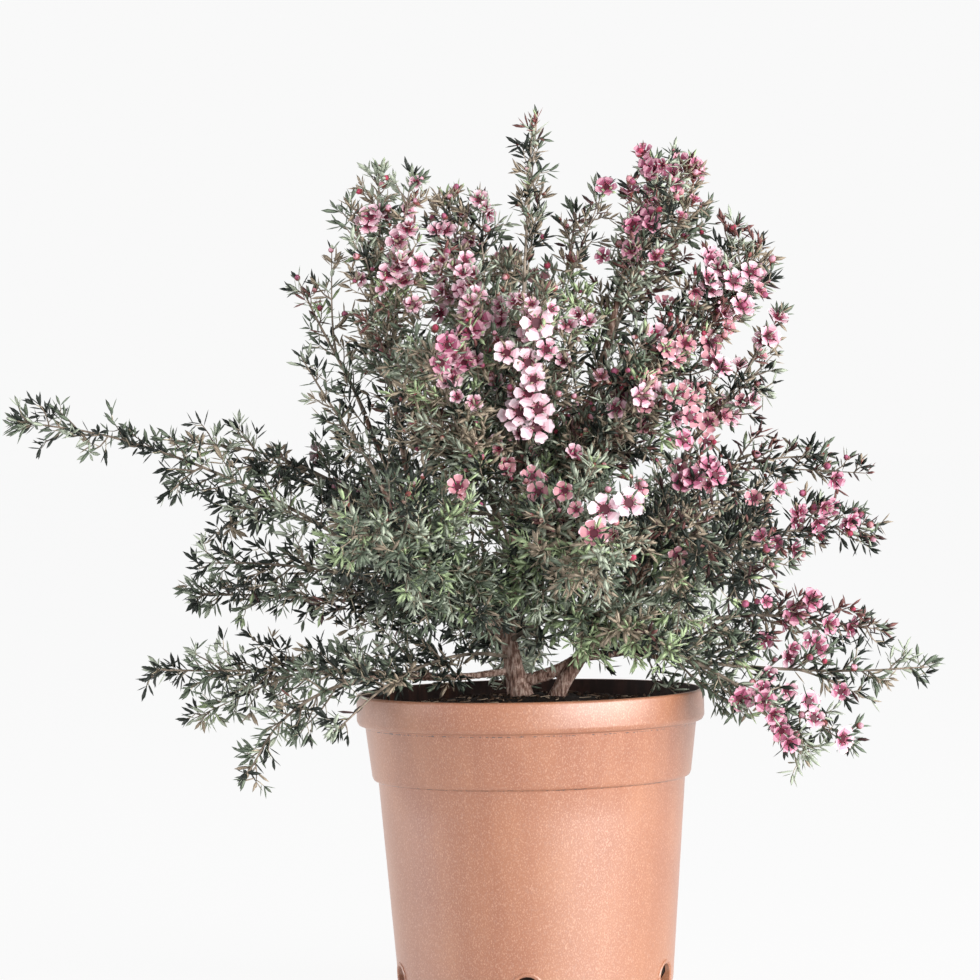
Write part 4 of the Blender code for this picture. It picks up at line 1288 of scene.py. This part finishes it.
class Shrub:
    """Every twig, shoot and leaf of the plant, gathered as it grows."""

    def __init__(self):
        self.stems = []
        self.twigs = []
        self.shoots = []
        self.leaves = []
        self.nodes = []

    def grow(self):
        stems = {row[0]: spray_limb(row[0], limbs()[row[1]], *row[2:5]) for row in SPRAYS}
        for index, row in enumerate(SPRAYS):
            self.grow_spray(index, row, stems[row[0]])
        for index, row in enumerate(SIDE_SPRAYS):
            self.grow_side_spray(index, row, stems[row[0]])
        for index, row in enumerate(BOUGHS):
            self.clothe_bough(index, limbs()[row[0]])
        return self

    def grow_spray(self, index, row, stem):
        """The main twigs of the spray, as in the solids, with finer ones between them."""
        _, _, place_on, _, _, reach, mix = row
        draw = random.Random(SEED * 100 + index)
        more = random.Random(SEED * 1000 + index)
        count = min(max(TWIGS[0], round(stem.length() / TWIG_SPACING)), TWIGS[1])
        first = FIRST_TWIG_ON_TIP if place_on == 1 else FIRST_TWIG_ON_TRUNK
        turn = draw.uniform(0, math.tau)
        for number in range(count):
            share = first + (LAST_TWIG - first) * number / (count - 1)
            turn += GOLDEN_ANGLE + draw.uniform(-ANGLE_SPREAD, ANGLE_SPREAD)
            length = reach * MM * (1 - TWIG_SHORTENING * share) * draw.uniform(*TWIG_SPREAD)
            length *= 0.5 + 0.5 * THIN_SPRAYS.get(stem.name, 1)
            self.pass_over_blades(draw)
            self.add_twig(twig_course(stem, share, turn, length), mix, more)
        self.finish_stem(stem, first * 0.6, reach, mix, more)

    @staticmethod
    def pass_over_blades(draw):
        """Draws what the source draws for a twig's blades, so that the next twig is the same as there."""
        for _ in range(BLADES_ON_TWIG):
            draw.uniform(0, math.tau)
        for _ in range(BLADES_ON_TWIG):
            draw.uniform(*LEAF_SPREAD)

    def grow_side_spray(self, index, row, carrier):
        """A thinner spray that springs from the stem of another."""
        name, share, tip, reach, mix = row
        more = random.Random(SEED * 3000 + index)
        stem = spray_limb(name, carrier, share, tip, (0, 0, 0))
        stem.radii = [radius * SIDE_SPRAY_GIRTH for radius in stem.radii]
        self.finish_stem(stem, BARE_SIDE_STEM, reach, mix, more)

    def finish_stem(self, stem, first, reach, mix, more):
        """Carries a stem on to where its last leaf starts, and sets fine twigs and leaves along it."""
        end = stem.points[-1] + onward(stem.points) * (TIP_LEAF_LENGTH - STEM_TIP_LEAF)
        stem = Limb(stem.name, [*stem.points, end], [*stem.radii, STEM_TIP_RADIUS])
        self.stems.append(stem)
        fullness = THIN_SPRAYS.get(stem.name, 1)
        reach *= 0.4 + 0.6 * fullness
        turn = more.uniform(0, math.tau)
        for share in spaced(first, LAST_FINE_TWIG, round(stem.length() * fullness / FINE_TWIG_SPACING)):
            turn += GOLDEN_ANGLE + more.uniform(-FINE_TWIG_TURN, FINE_TWIG_TURN)
            length = reach * MM * (1 - FINE_TWIG_SHORTENING * share**2) * more.uniform(*FINE_TWIG_SPREAD)
            angle = TWIG_ANGLE + more.uniform(*FINE_TWIG_LEAN)
            self.add_twig(twig_course(stem, share, turn, length, angle), mix, more)
        self.clothe(stem.points, first, mix, more)

    def clothe_bough(self, index, bough):
        """Leafy twigs along the outer part of a bough."""
        more = random.Random(SEED * 2000 + index)
        clothed = bough.length() * THIN_SPRAYS.get(bough.name, 1) * (1 - BOUGH_TWIG_FIRST)
        turn = more.uniform(0, math.tau)
        for share in spaced(BOUGH_TWIG_FIRST, 1, round(clothed / BOUGH_TWIG_SPACING)):
            turn += GOLDEN_ANGLE + more.uniform(-FINE_TWIG_TURN, FINE_TWIG_TURN)
            length = more.uniform(*BOUGH_TWIG_LENGTH)
            self.add_twig(twig_course(bough, share, turn, length), "shade", more)

    def add_twig(self, course, mix, more):
        """A twig with shoots along it, all in one kind of leaf for the most part."""
        course = through(course, TWIG_STEPS)
        if not all(clear_of_pot(point) for point in course[1:]):
            return
        kind = more.choices(LEAF_KINDS, LEAF_MIXES[mix])[0]
        self.twigs.append(course)
        twig = Limb("twig", course, taper(TWIG_FOOT_RADIUS, TWIG_TIP_RADIUS, len(course)))
        length = twig.length()
        count = max(2, round(length / SHOOT_SPACING))
        turn = more.uniform(0, math.tau)
        for number in range(count):
            share = FIRST_SHOOT + SHOOTS_SPREAD * number / (count - 1)
            turn += GOLDEN_ANGLE + more.uniform(-SHOOT_TURN, SHOOT_TURN)
            size = length * SHOOT_SHARE * (1.1 - SHOOT_SHORTENING * share) * more.uniform(*SHOOT_SIZES)
            size = min(max(size, SHOOT_LENGTH[0]), SHOOT_LENGTH[1])
            shoot = twig_course(twig, share, turn, size, more.uniform(*SHOOT_ANGLE))
            if clear_of_pot(shoot[-1], SHOOT_MARGIN):
                self.shoots.append(shoot)
                strays = more.random() < SHOOTS_OF_OTHER_KIND
                other = more.choices(LEAF_KINDS, LEAF_MIXES[mix])[0] if strays else kind
                self.clothe(shoot, BARE_SHOOT, other, more)
        self.clothe(course, BARE_TWIG, kind, more)

    def clothe(self, course, first, kind, more):
        """Leaves set one by one along a course, and a tuft at its tip."""
        carrier = Limb("carrier", course, [0] * len(course))
        count = max(1, round(carrier.length() * (1 - first) / NODE_SPACING))
        turn = more.uniform(0, math.tau)
        for share in spaced(first, LAST_LEAF, count):
            foot, direction, _ = carrier.at(share)
            turn += GOLDEN_ANGLE + more.uniform(-LEAF_TURN, LEAF_TURN)
            self.add_leaf(foot, direction, turn, more.uniform(*LEAF_TILT), kind, more)
        self.nodes.append((course[-1], onward(course)))
        turn = more.uniform(0, math.tau)
        for _ in range(LEAVES_AT_TIP):
            turn += math.tau / LEAVES_AT_TIP + more.uniform(-LEAF_TURN, LEAF_TURN)
            self.add_leaf(*self.nodes[-1], turn, more.uniform(*TIP_TILT), kind, more, TIP_LEAF_SIZE)

    def add_leaf(self, foot, direction, turn, tilt, kind, more, size=1.0):
        """One leaf of a kind, or of any kind in a mix, unless it would reach into the pot."""
        if kind in LEAF_MIXES:
            kind = more.choices(LEAF_KINDS, LEAF_MIXES[kind])[0]
        along = turned_aside(direction, side_of(direction, turn), tilt)
        if clear_of_pot(foot + along * LEAF_REACH):
            self.leaves.append((foot, along, direction, size * more.uniform(*LEAF_SIZES), kind))


@lru_cache(maxsize=1)
def shrub():
    return Shrub().grow()


# One leaf: the foot, two rings of left edge, right edge and keel, and the tip, as across, along and up
LEAF_FIGURE = np.array(
    [
        (0, 0, 0),
        (-0.42, 0.28, 0.10),
        (0.42, 0.28, 0.10),
        (0, 0.28, -0.12),
        (-0.50, 0.66, 0.14),
        (0.50, 0.66, 0.14),
        (0, 0.66, -0.10),
        (0, 1, 0.05),
    ]
)
LEAF_QUADS = [(1, 2, 5, 4), (1, 4, 6, 3), (2, 3, 6, 5)]
LEAF_TRIANGLES = [(0, 2, 1), (0, 1, 3), (0, 3, 2), (4, 5, 7), (4, 7, 6), (5, 6, 7)]
LEAF_FACES = len(LEAF_TRIANGLES) + 2 * len(LEAF_QUADS)
PIECE_LIMIT = 180000


def unit(rows):
    return rows / np.linalg.norm(rows, axis=-1, keepdims=True)


def leaf_corners(leaves, length, width):
    """The corners of every leaf: its upper side looks up the twig that bears it."""
    feet = np.array([leaf[0] for leaf in leaves])
    along = unit(np.array([leaf[1] for leaf in leaves]))
    stem = np.array([leaf[2] for leaf in leaves])
    size = np.array([leaf[3] for leaf in leaves])[:, None, None]
    across = unit(np.cross(along, stem))
    above = np.cross(across, along)
    x, y, z = (LEAF_FIGURE[None, :, axis, None] for axis in range(3))
    shape = across[:, None] * x * width + along[:, None] * y * length + above[:, None] * z * width
    return feet[:, None] + shape * size


class MANUKA_OT_twigs(bpy.types.Operator):
    """Makes the stems of the sprays, their twigs and the young shoots."""

    bl_idname = "manuka.twigs"
    bl_label = "Twigs"

    def execute(self, context):
        settings = context.scene.manuka_wood
        plant = shrub()
        wood = Drawing()
        for stem in plant.stems:
            course, radii = drawn_course(stem, STEM_DRAWN_STEPS)
            thinning = 1 - (1 - STEM_THINNING) * np.linspace(0, 1, len(radii)) ** 0.35
            tubes(wood, [course], [radii * thinning], STEM_SIDES)
        radii = np.tile(taper(TWIG_FOOT_RADIUS, TWIG_TIP_RADIUS, TWIG_STEPS + 1), (len(plant.twigs), 1))
        tubes(wood, plant.twigs, radii, TWIG_SIDES)
        twigs = placed("twigs", wood)
        finished(twigs, "bark", MASSES, twig_paint("twig_bark", settings.twig))
        young = Drawing()
        radii = np.tile(taper(SHOOT_FOOT_RADIUS, SHOOT_TIP_RADIUS, 3), (len(plant.shoots), 1))
        tubes(young, plant.shoots, radii, SHOOT_SIDES)
        shoots = placed("shoots", young)
        finished(shoots, "bark", MASSES, twig_paint("shoot_bark", settings.shoot))
        return {"FINISHED"}


class MANUKA_OT_leaves(bpy.types.Operator):
    """Makes the leaves, each kind joined into pieces of its own."""

    bl_idname = "manuka.leaves"
    bl_label = "Leaves"

    def execute(self, context):
        settings = context.scene.manuka_leaf
        leaves = shrub().leaves
        most = PIECE_LIMIT // LEAF_FACES
        for kind in LEAF_KINDS:
            chosen = [leaf for leaf in leaves if leaf[4] == kind]
            paint = flat_paint(f"leaf_{kind}", getattr(settings, kind))
            slot = "leaves_bronze" if kind in ("olive", "bronze", "rust") else "leaves_green"
            for number, start in enumerate(range(0, len(chosen), most)):
                name = f"leaves_{kind}_{number + 1}"
                drawing = Drawing()
                corners = leaf_corners(chosen[start : start + most], settings.length, settings.width)
                drawing.add(corners, [LEAF_QUADS, LEAF_TRIANGLES])
                finished(placed(name, drawing), slot, MASSES, paint)
        return {"FINISHED"}


# Blossom

PETALS = 5
PETAL_ROWS = 5
PETAL_COLUMNS = 4
PETAL_WIDTHS = (0.20, 0.66, 0.98, 0.96, 0.52)
PETAL_ALONG = (0.0, 0.26, 0.55, 0.84, 1.0)
PETAL_SKIN = 0.14 * MM
PETAL_TURN = 0.08
PETAL_SIZES = (0.93, 1.04)
PETAL_WAVE = 0.06
OPEN_CUP = (0.05, 0.4)
CLOSING_CUP = (0.3, 1.0)
OPEN_WIDTH = 11.5 * MM
BIG_WIDTH = 14 * MM
HEART_SHARE = 0.15
STALK = 1.6 * MM
CUP = 3.6 * MM
CUP_SIDES = 6
HEART_SIDES = 10
STAMENS = 16
STAMEN_LEAN = (0.95, 1.5)
STAMEN_RISE = (1.2, 2.1)
STAMEN_RADII = (0.15 * MM, 0.10 * MM)
ANTHER = 0.26 * MM
BUD_SIDES = 8
HUSK_SIDES = 5
BLOSSOM_CREASE = math.radians(40)


def sheet_faces(rows, columns):
    """Faces of a closed thin sheet: an upper grid, a lower grid and the rim between them."""
    top, under = [], []
    lower = rows * columns
    for r in range(rows - 1):
        for c in range(columns - 1):
            a, b = r * columns + c, r * columns + c + 1
            d, e = a + columns, b + columns
            top.append((a, b, e, d))
            under.append((lower + a, lower + d, lower + e, lower + b))
    border = [(0, c) for c in range(columns)]
    border += [(r, columns - 1) for r in range(1, rows)]
    border += [(rows - 1, c) for c in range(columns - 2, -1, -1)]
    border += [(r, 0) for r in range(rows - 2, 0, -1)]
    rim = []
    for (r, c), (s, d) in zip(border, border[1:] + border[:1]):
        a, b = r * columns + c, s * columns + d
        rim.append((b, a, lower + a, lower + b))
    return top, under, rim


def petal_corners(turn, width, inner, cup, base, draw):
    """One round, clawed petal laid out from the flower's middle, at the height of its base."""
    length = width / 2 - inner
    corners = []
    wave = draw.uniform(-PETAL_WAVE, PETAL_WAVE)
    for skin in (0.5, -0.5):
        for along, share in zip(PETAL_ALONG, PETAL_WIDTHS):
            for column in range(PETAL_COLUMNS):
                u = column / (PETAL_COLUMNS - 1) * 2 - 1
                half = share * length * 0.52
                reach = inner + length * (along - 0.16 * u * u * along**3)
                rise = length * (cup * math.sin(along * 1.9) * 0.8 + 0.16 * u * u * along + wave * u * along)
                corners.append((reach, u * half, rise + skin * PETAL_SKIN + base))
    c, s = math.cos(turn), math.sin(turn)
    return [(x * c - y * s, x * s + y * c, z) for x, y, z in corners]


def petal_strips():
    """The faces of a petal by strip, from its foot to its edge, with the rim in the last."""
    top, under, rim = sheet_faces(PETAL_ROWS, PETAL_COLUMNS)
    per_row = PETAL_COLUMNS - 1
    starts = range(0, len(top), per_row)
    strips = [top[start : start + per_row] + under[start : start + per_row] for start in starts]
    strips[-1] += rim
    return strips


# Shade of each strip of a petal, from its foot to its edge
PETAL_TONES = {
    "pale": ("pink", "pale", "white", "white"),
    "pink": ("rose", "pink", "pale", "white"),
    "rose": ("rose", "rose", "pink", "pink"),
    "salmon": ("rose", "salmon", "salmon", "pale"),
}
BLOSSOM_SHADES = ("white", "pale", "pink", "rose", "salmon", "heart", "stamen", "sepal", "husk")


def revolve(profile, sides):
    """Corners and faces of a closed form turned about the flower's axis, from its foot to its top."""
    corners = [(0, 0, profile[0][1])]
    for radius, height in profile[1:-1]:
        for side in range(sides):
            turn = math.tau * side / sides
            corners.append((math.cos(turn) * radius, math.sin(turn) * radius, height))
    corners.append((0, 0, profile[-1][1]))
    rings = len(profile) - 2
    triangles, quads = [], []
    last = len(corners) - 1
    for side in range(sides):
        after = (side + 1) % sides
        triangles.append((0, 1 + after, 1 + side))
        triangles.append((last, 1 + (rings - 1) * sides + side, 1 + (rings - 1) * sides + after))
        for ring in range(rings - 1):
            a, b = 1 + ring * sides + side, 1 + ring * sides + after
            quads.append((a, b, b + sides, a + sides))
    return corners, triangles, quads


class Bloom:
    """One flower or bud in the making, with its own Z along an axis."""

    def __init__(self, drawing, foot, axis, draw):
        self.drawing = drawing
        self.foot = foot
        self.draw = draw
        side = side_of(axis, draw.uniform(0, math.tau))
        self.turned = Matrix((side, axis.cross(side), axis)).transposed()

    def place(self, corner):
        return self.foot + self.turned @ Vector(corner)

    def add_turned(self, profile, sides, shade):
        """Adds a closed form turned about the axis."""
        corners, triangles, quads = revolve(profile, sides)
        placed_corners = [self.place(corner) for corner in corners]
        self.drawing.add([placed_corners], [triangles, quads], BLOSSOM_SHADES.index(shade))

    def add_petals(self, width, inner, tone):
        shades = [[BLOSSOM_SHADES.index(shade) for shade in PETAL_TONES[tone]]]
        strips = petal_strips()
        cup = self.draw.uniform(*(OPEN_CUP if width > OPEN_WIDTH else CLOSING_CUP))
        start = self.draw.uniform(0, math.tau)
        for petal in range(PETALS):
            turn = start + math.tau * petal / PETALS + self.draw.uniform(-PETAL_TURN, PETAL_TURN)
            size = width * self.draw.uniform(*PETAL_SIZES)
            corners = petal_corners(turn, size, inner, cup, CUP, self.draw)
            self.drawing.add([[self.place(corner) for corner in corners]], strips, shades)

    def add_stamens(self, count, heart):
        """A ring of stamens round the heart; returns their tips."""
        courses = []
        for stamen in range(count):
            turn = math.tau * (stamen + self.draw.uniform(-0.3, 0.3)) / count
            lean = self.draw.uniform(*STAMEN_LEAN)
            rise = self.draw.uniform(*STAMEN_RISE) * MM
            c, s = math.cos(turn), math.sin(turn)
            low = self.place((c * heart * 0.86, s * heart * 0.86, CUP + 0.2 * MM))
            courses.append([low, self.place((c * heart * lean, s * heart * lean, CUP + rise))])
        tubes(self.drawing, courses, np.tile(STAMEN_RADII, (count, 1)), 3, BLOSSOM_SHADES.index("stamen"))
        return [high for _, high in courses]


def add_flower(drawing, foot, axis, width, tone, draw):
    """A flower on a short stalk: cup, heart, petals and stamens, with dark dots on an open one."""
    bloom = Bloom(drawing, foot, axis, draw)
    heart = width * HEART_SHARE
    cup = [(0, 0), (0.35 * MM, 0.05 * MM), (0.5 * MM, STALK), (heart * 0.95, CUP - 0.7 * MM)]
    bloom.add_turned(cup + [(heart * 1.05, CUP), (0, CUP)], CUP_SIDES, "sepal")
    dome = [(0, CUP - 0.1 * MM), (heart, CUP), (heart * 0.9, CUP + 0.35 * MM)]
    bloom.add_turned(dome + [(heart * 0.45, CUP + 0.25 * MM), (0, CUP + 0.5 * MM)], HEART_SIDES, "heart")
    bloom.add_petals(width, heart * 0.9, tone)
    tips = bloom.add_stamens(STAMENS if width > OPEN_WIDTH else STAMENS // 2, heart)
    if width > OPEN_WIDTH:
        dots = np.array(tips)[:, None] + np.array(LUMP_CORNERS)[None] * ANTHER
        drawing.add(dots, [LUMP_FACES], BLOSSOM_SHADES.index("heart"))


def add_bud(drawing, foot, axis, width, tone, draw):
    """A round bud in its red cup, or a husk where it is small."""
    bloom = Bloom(drawing, foot, axis, draw)
    half = width / 2
    sides = HUSK_SIDES if width < HUSK_WIDTH[1] else BUD_SIDES
    cup = [(0, 0), (0.3 * MM, 0.1 * MM), (half * 0.85, half * 0.7), (half, half * 1.5), (0, half * 1.6)]
    bloom.add_turned(cup, sides, "sepal")
    ball = [(0, 1.2), (0.8, 1.5), (0.78, 2.0), (0.4, 2.5), (0, 2.6)]
    bloom.add_turned([(half * radius, half * height) for radius, height in ball], sides, tone)


def as_seen(points):
    """Where points stand across and up once they are drawn to the depth of the blossom."""
    eye = np.array(CAMERA_AT)
    away = points - eye
    return eye + away * ((BLOSSOM_DEPTH - eye[1]) / away[:, 1])[:, None]


def wanted_blossom(draw):
    """Where flowers and buds are wanted, across and up, with their width and tone."""
    for start, end, count, width, tone, extra in TRUSSES:
        start, end = np.array(start) * MM, np.array(end) * MM
        for number in range(count + extra):
            is_bud = number >= count
            share = draw.uniform(-0.15, 1.15) if is_bud else (number + 0.5) / count
            spread = (7 if is_bud else 3.5 if count > 1 else 0) * MM
            aside = np.array([draw.gauss(0, spread), draw.gauss(0, spread)])
            yield start + (end - start) * share + aside, width * MM, tone, is_bud
    for low, high, count, width, tone, extra in SCATTERS:
        for number in range(count + extra):
            wanted = np.array([draw.uniform(low[axis], high[axis]) for axis in range(2)]) * MM
            yield wanted, width * draw.uniform(0.75, 1.2) * MM, tone, number >= count


def frontmost(wanted, points, seen, taken, width):
    """The node nearest the front among those close to the wanted place and clear of other flowers."""
    away = np.linalg.norm(seen - wanted, axis=1)
    depth = 0 if width > BIG_WIDTH else BLOSSOM_NEST * (0.5 + 0.5 * np.sin(np.arange(len(points)) * 12.9898))
    score = points[:, 1] + away * 3 + depth
    score[away > BLOSSOM_REACH] = 1
    for other in taken:
        score[np.linalg.norm(points - points[other], axis=1) < width * 0.45] = 1
    best = int(score.argmin())
    return best if score[best] < 1 else None


class MANUKA_OT_blossom(bpy.types.Operator):
    """Makes the flowers and buds, each on the frontmost twig of its place."""

    bl_idname = "manuka.blossom"
    bl_label = "Blossom"

    def execute(self, context):
        settings = context.scene.manuka_blossom
        self.nodes = shrub().nodes
        self.points = np.array([point for point, _ in self.nodes])
        self.draw = random.Random(SEED)
        self.flowers = Drawing()
        self.buds = Drawing()
        self.set_front()
        self.set_back()
        self.set_husks()
        paints = [flat_paint(f"blossom_{shade}", getattr(settings, shade)) for shade in BLOSSOM_SHADES]
        for name, drawing in (("flowers", self.flowers), ("buds", self.buds)):
            piece = choose(placed(name, drawing))
            bpy.ops.object.shade_smooth_by_angle(angle=BLOSSOM_CREASE)
            finished(piece, "leaves_bronze", MASSES, *paints)
        return {"FINISHED"}

    def set_front(self):
        """The trusses and loose flowers that face the front, with their buds."""
        draw = self.draw
        seen = as_seen(self.points)[:, [0, 2]]
        taken = []
        for wanted, width, tone, is_bud in wanted_blossom(draw):
            index = frontmost(wanted, self.points, seen, taken, width)
            if index is None:
                continue
            foot, direction = self.nodes[index]
            out = Vector((foot.x, foot.y - 0.02, foot.z - 0.25)).normalized()
            axis = out * 0.45 + Vector((0, -0.85, 0.12)) + direction * 0.3
            sway = 0.25 if width > OPEN_WIDTH else 0.55
            axis += Vector((draw.gauss(0, sway), draw.gauss(0, 0.1), draw.gauss(0, sway)))
            if is_bud:
                shade = draw.choice(("rose", "stamen", "pink", "salmon"))
                add_bud(self.buds, foot, axis.normalized(), draw.uniform(*BUD_WIDTH), shade, draw)
            else:
                taken.append(index)
                sunk = 0 if width > BIG_WIDTH else draw.uniform(*SUNK)
                size = width * draw.uniform(0.9, 1.08)
                add_flower(self.flowers, foot - direction * sunk, axis.normalized(), size, tone, draw)

    def sampled(self, count, allowed):
        """Nodes drawn from those whose place is allowed."""
        chosen = [index for index, point in enumerate(self.points) if allowed(*point)]
        return [self.nodes[index] for index in self.draw.sample(chosen, count)]

    def set_back(self):
        """A few flowers on the back of the crown."""
        draw = self.draw
        for foot, direction in self.sampled(BACK_SCATTERS, lambda x, y, z: y > 30 * MM and z > 240 * MM):
            axis = Vector((foot.x, foot.y, 0.3 * (foot.z - 0.2))).normalized() + direction * 0.4
            tone = draw.choice(("pale", "pink", "rose", "salmon"))
            add_flower(self.flowers, foot, axis.normalized(), draw.uniform(*BACK_WIDTH), tone, draw)

    def set_husks(self):
        """Last year's husks and this year's smallest buds, all over the crown."""
        draw = self.draw
        for foot, direction in self.sampled(HUSKS, lambda x, y, z: z > 235 * MM and x > -85 * MM):
            axis = direction + Vector((draw.gauss(0, 0.4), draw.gauss(0, 0.4), draw.gauss(0, 0.4)))
            shade = draw.choice(("husk", "husk", "salmon", "pale", "rose", "sepal"))
            add_bud(self.buds, foot, axis.normalized(), draw.uniform(*HUSK_WIDTH), shade, draw)


# Stage

# Lamps: name, size, place and colour
LAMPS = [
    ("key", 2.1, (2.3, -1.7, 0.42), (1, 0.985, 0.96)),
    ("fill", 1.6, (-2.5, 0.1, 0.2), (1, 0.96, 0.97)),
    ("front", 1.0, (1.3, -2.6, 0.3), (1, 0.99, 0.98)),
]
LAMPS_LOOK_AT = (0, 0, 0.2)
FLOOR_SIZE = 24
FLOOR_GREY = (0.07, 0.07, 0.07, 1)
FLOOR_GLOW = 0.97
SKY_TINT = (0.97, 0.985, 1, 1)
SENSOR_WIDTH = 36


def area_light(name, power, size, at, colour):
    """A square lamp that looks at the crown and isn't seen itself."""
    deselect()
    bpy.ops.object.light_add(type="AREA", location=at)
    lamp = bpy.context.object
    lamp.name = name
    lamp.data.energy = power
    lamp.data.size = size
    lamp.data.color = colour
    lamp.visible_camera = False
    lamp.rotation_euler = (Vector(LAMPS_LOOK_AT) - Vector(at)).to_track_quat("-Z", "Y").to_euler()


def lay_floor(tone):
    """A wide floor that glows in the backdrop's own tone, so that it runs into it."""
    deselect()
    bpy.ops.mesh.primitive_plane_add(size=FLOOR_SIZE, location=(0, 0, 0))
    floor = bpy.context.object
    floor.name = "floor"
    glow = {"Emission_Color": tone, "Emission_Strength": FLOOR_GLOW}
    paint = new_paint("floor_paint", Base_Color=FLOOR_GREY, Roughness=1, Specular_IOR_Level=0, **glow)[0]
    floor.data.materials.append(paint)


def light_room(scene, tone, strength):
    """A soft light from all round, behind a plain backdrop that only the camera and reflections see."""
    world = bpy.data.worlds.new("room")
    scene.world = world
    world.use_nodes = True
    tree = world.node_tree
    tree.nodes.clear()
    lit = node(tree, "ShaderNodeBackground", Color=SKY_TINT, Strength=strength)
    shown = node(tree, "ShaderNodeBackground", Color=tone, Strength=1.0)
    path = tree.nodes.new("ShaderNodeLightPath")
    plain = sums(tree, "MAXIMUM", path.outputs["Is Camera Ray"], path.outputs["Is Glossy Ray"])
    chosen = node(tree, "ShaderNodeMixShader", at0=plain, at1=lit.outputs[0], at2=shown.outputs[0])
    node(tree, "ShaderNodeOutputWorld", Surface=chosen.outputs[0])


def set_camera(scene):
    deselect()
    bpy.ops.object.camera_add(location=CAMERA_AT)
    camera = bpy.context.object
    camera.data.lens = CAMERA_LENS
    camera.data.sensor_width = SENSOR_WIDTH
    ahead = (Vector(CAMERA_LOOKS_AT) - Vector(CAMERA_AT)).normalized()
    right = ahead.cross(Vector((0, 0, 1))).normalized()
    up = right.cross(ahead)
    across = right * math.cos(CAMERA_ROLL) - up * math.sin(CAMERA_ROLL)
    above = right * math.sin(CAMERA_ROLL) + up * math.cos(CAMERA_ROLL)
    turned = Matrix((across, above, -ahead)).transposed().to_4x4()
    camera.matrix_world = Matrix.Translation(CAMERA_AT) @ turned
    scene.camera = camera


class MANUKA_OT_stage(bpy.types.Operator):
    """Sets the pale floor and wall, the lights and the camera."""

    bl_idname = "manuka.stage"
    bl_label = "Stage"

    def execute(self, context):
        settings = context.scene.manuka_stage
        tone = (*settings.floor, 1)
        lay_floor(tone)
        light_room(context.scene, tone, settings.sky)
        for name, *rest in LAMPS:
            area_light(name, getattr(settings, name), *rest)
        set_camera(context.scene)
        context.scene.view_settings.view_transform = "Standard"
        return {"FINISHED"}


PIECES = (
    MANUKA_OT_stage,
    MANUKA_OT_pot,
    MANUKA_OT_soil,
    MANUKA_OT_limbs,
    MANUKA_OT_twigs,
    MANUKA_OT_leaves,
    MANUKA_OT_blossom,
)


class MANUKA_PT_panel(bpy.types.Panel):
    """Lists the sizes, the colours and the pieces."""

    bl_label = "Potted manuka"
    bl_idname = "MANUKA_PT_panel"
    bl_space_type = "VIEW_3D"
    bl_region_type = "UI"
    bl_category = "Manuka"

    def draw(self, context):
        for group, kind in SETTINGS.items():
            box = self.layout.box()
            box.label(text=kind.__doc__)
            for name in kind.__annotations__:
                box.prop(getattr(context.scene, group), name)
        for piece in PIECES:
            self.layout.operator(piece.bl_idname)


def register():
    for kind in (*SETTINGS.values(), *PIECES, MANUKA_PT_panel):
        bpy.utils.register_class(kind)
    for group, kind in SETTINGS.items():
        setattr(bpy.types.Scene, group, PointerProperty(type=kind))


def unregister():
    for group in SETTINGS:
        delattr(bpy.types.Scene, group)
    for kind in reversed((*SETTINGS.values(), *PIECES, MANUKA_PT_panel)):
        bpy.utils.unregister_class(kind)


def main():
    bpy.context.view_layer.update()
    register()
    for piece in PIECES:
        group, name = piece.bl_idname.split(".")
        getattr(getattr(bpy.ops, group), name)()


if __name__ == "__main__":
    main()
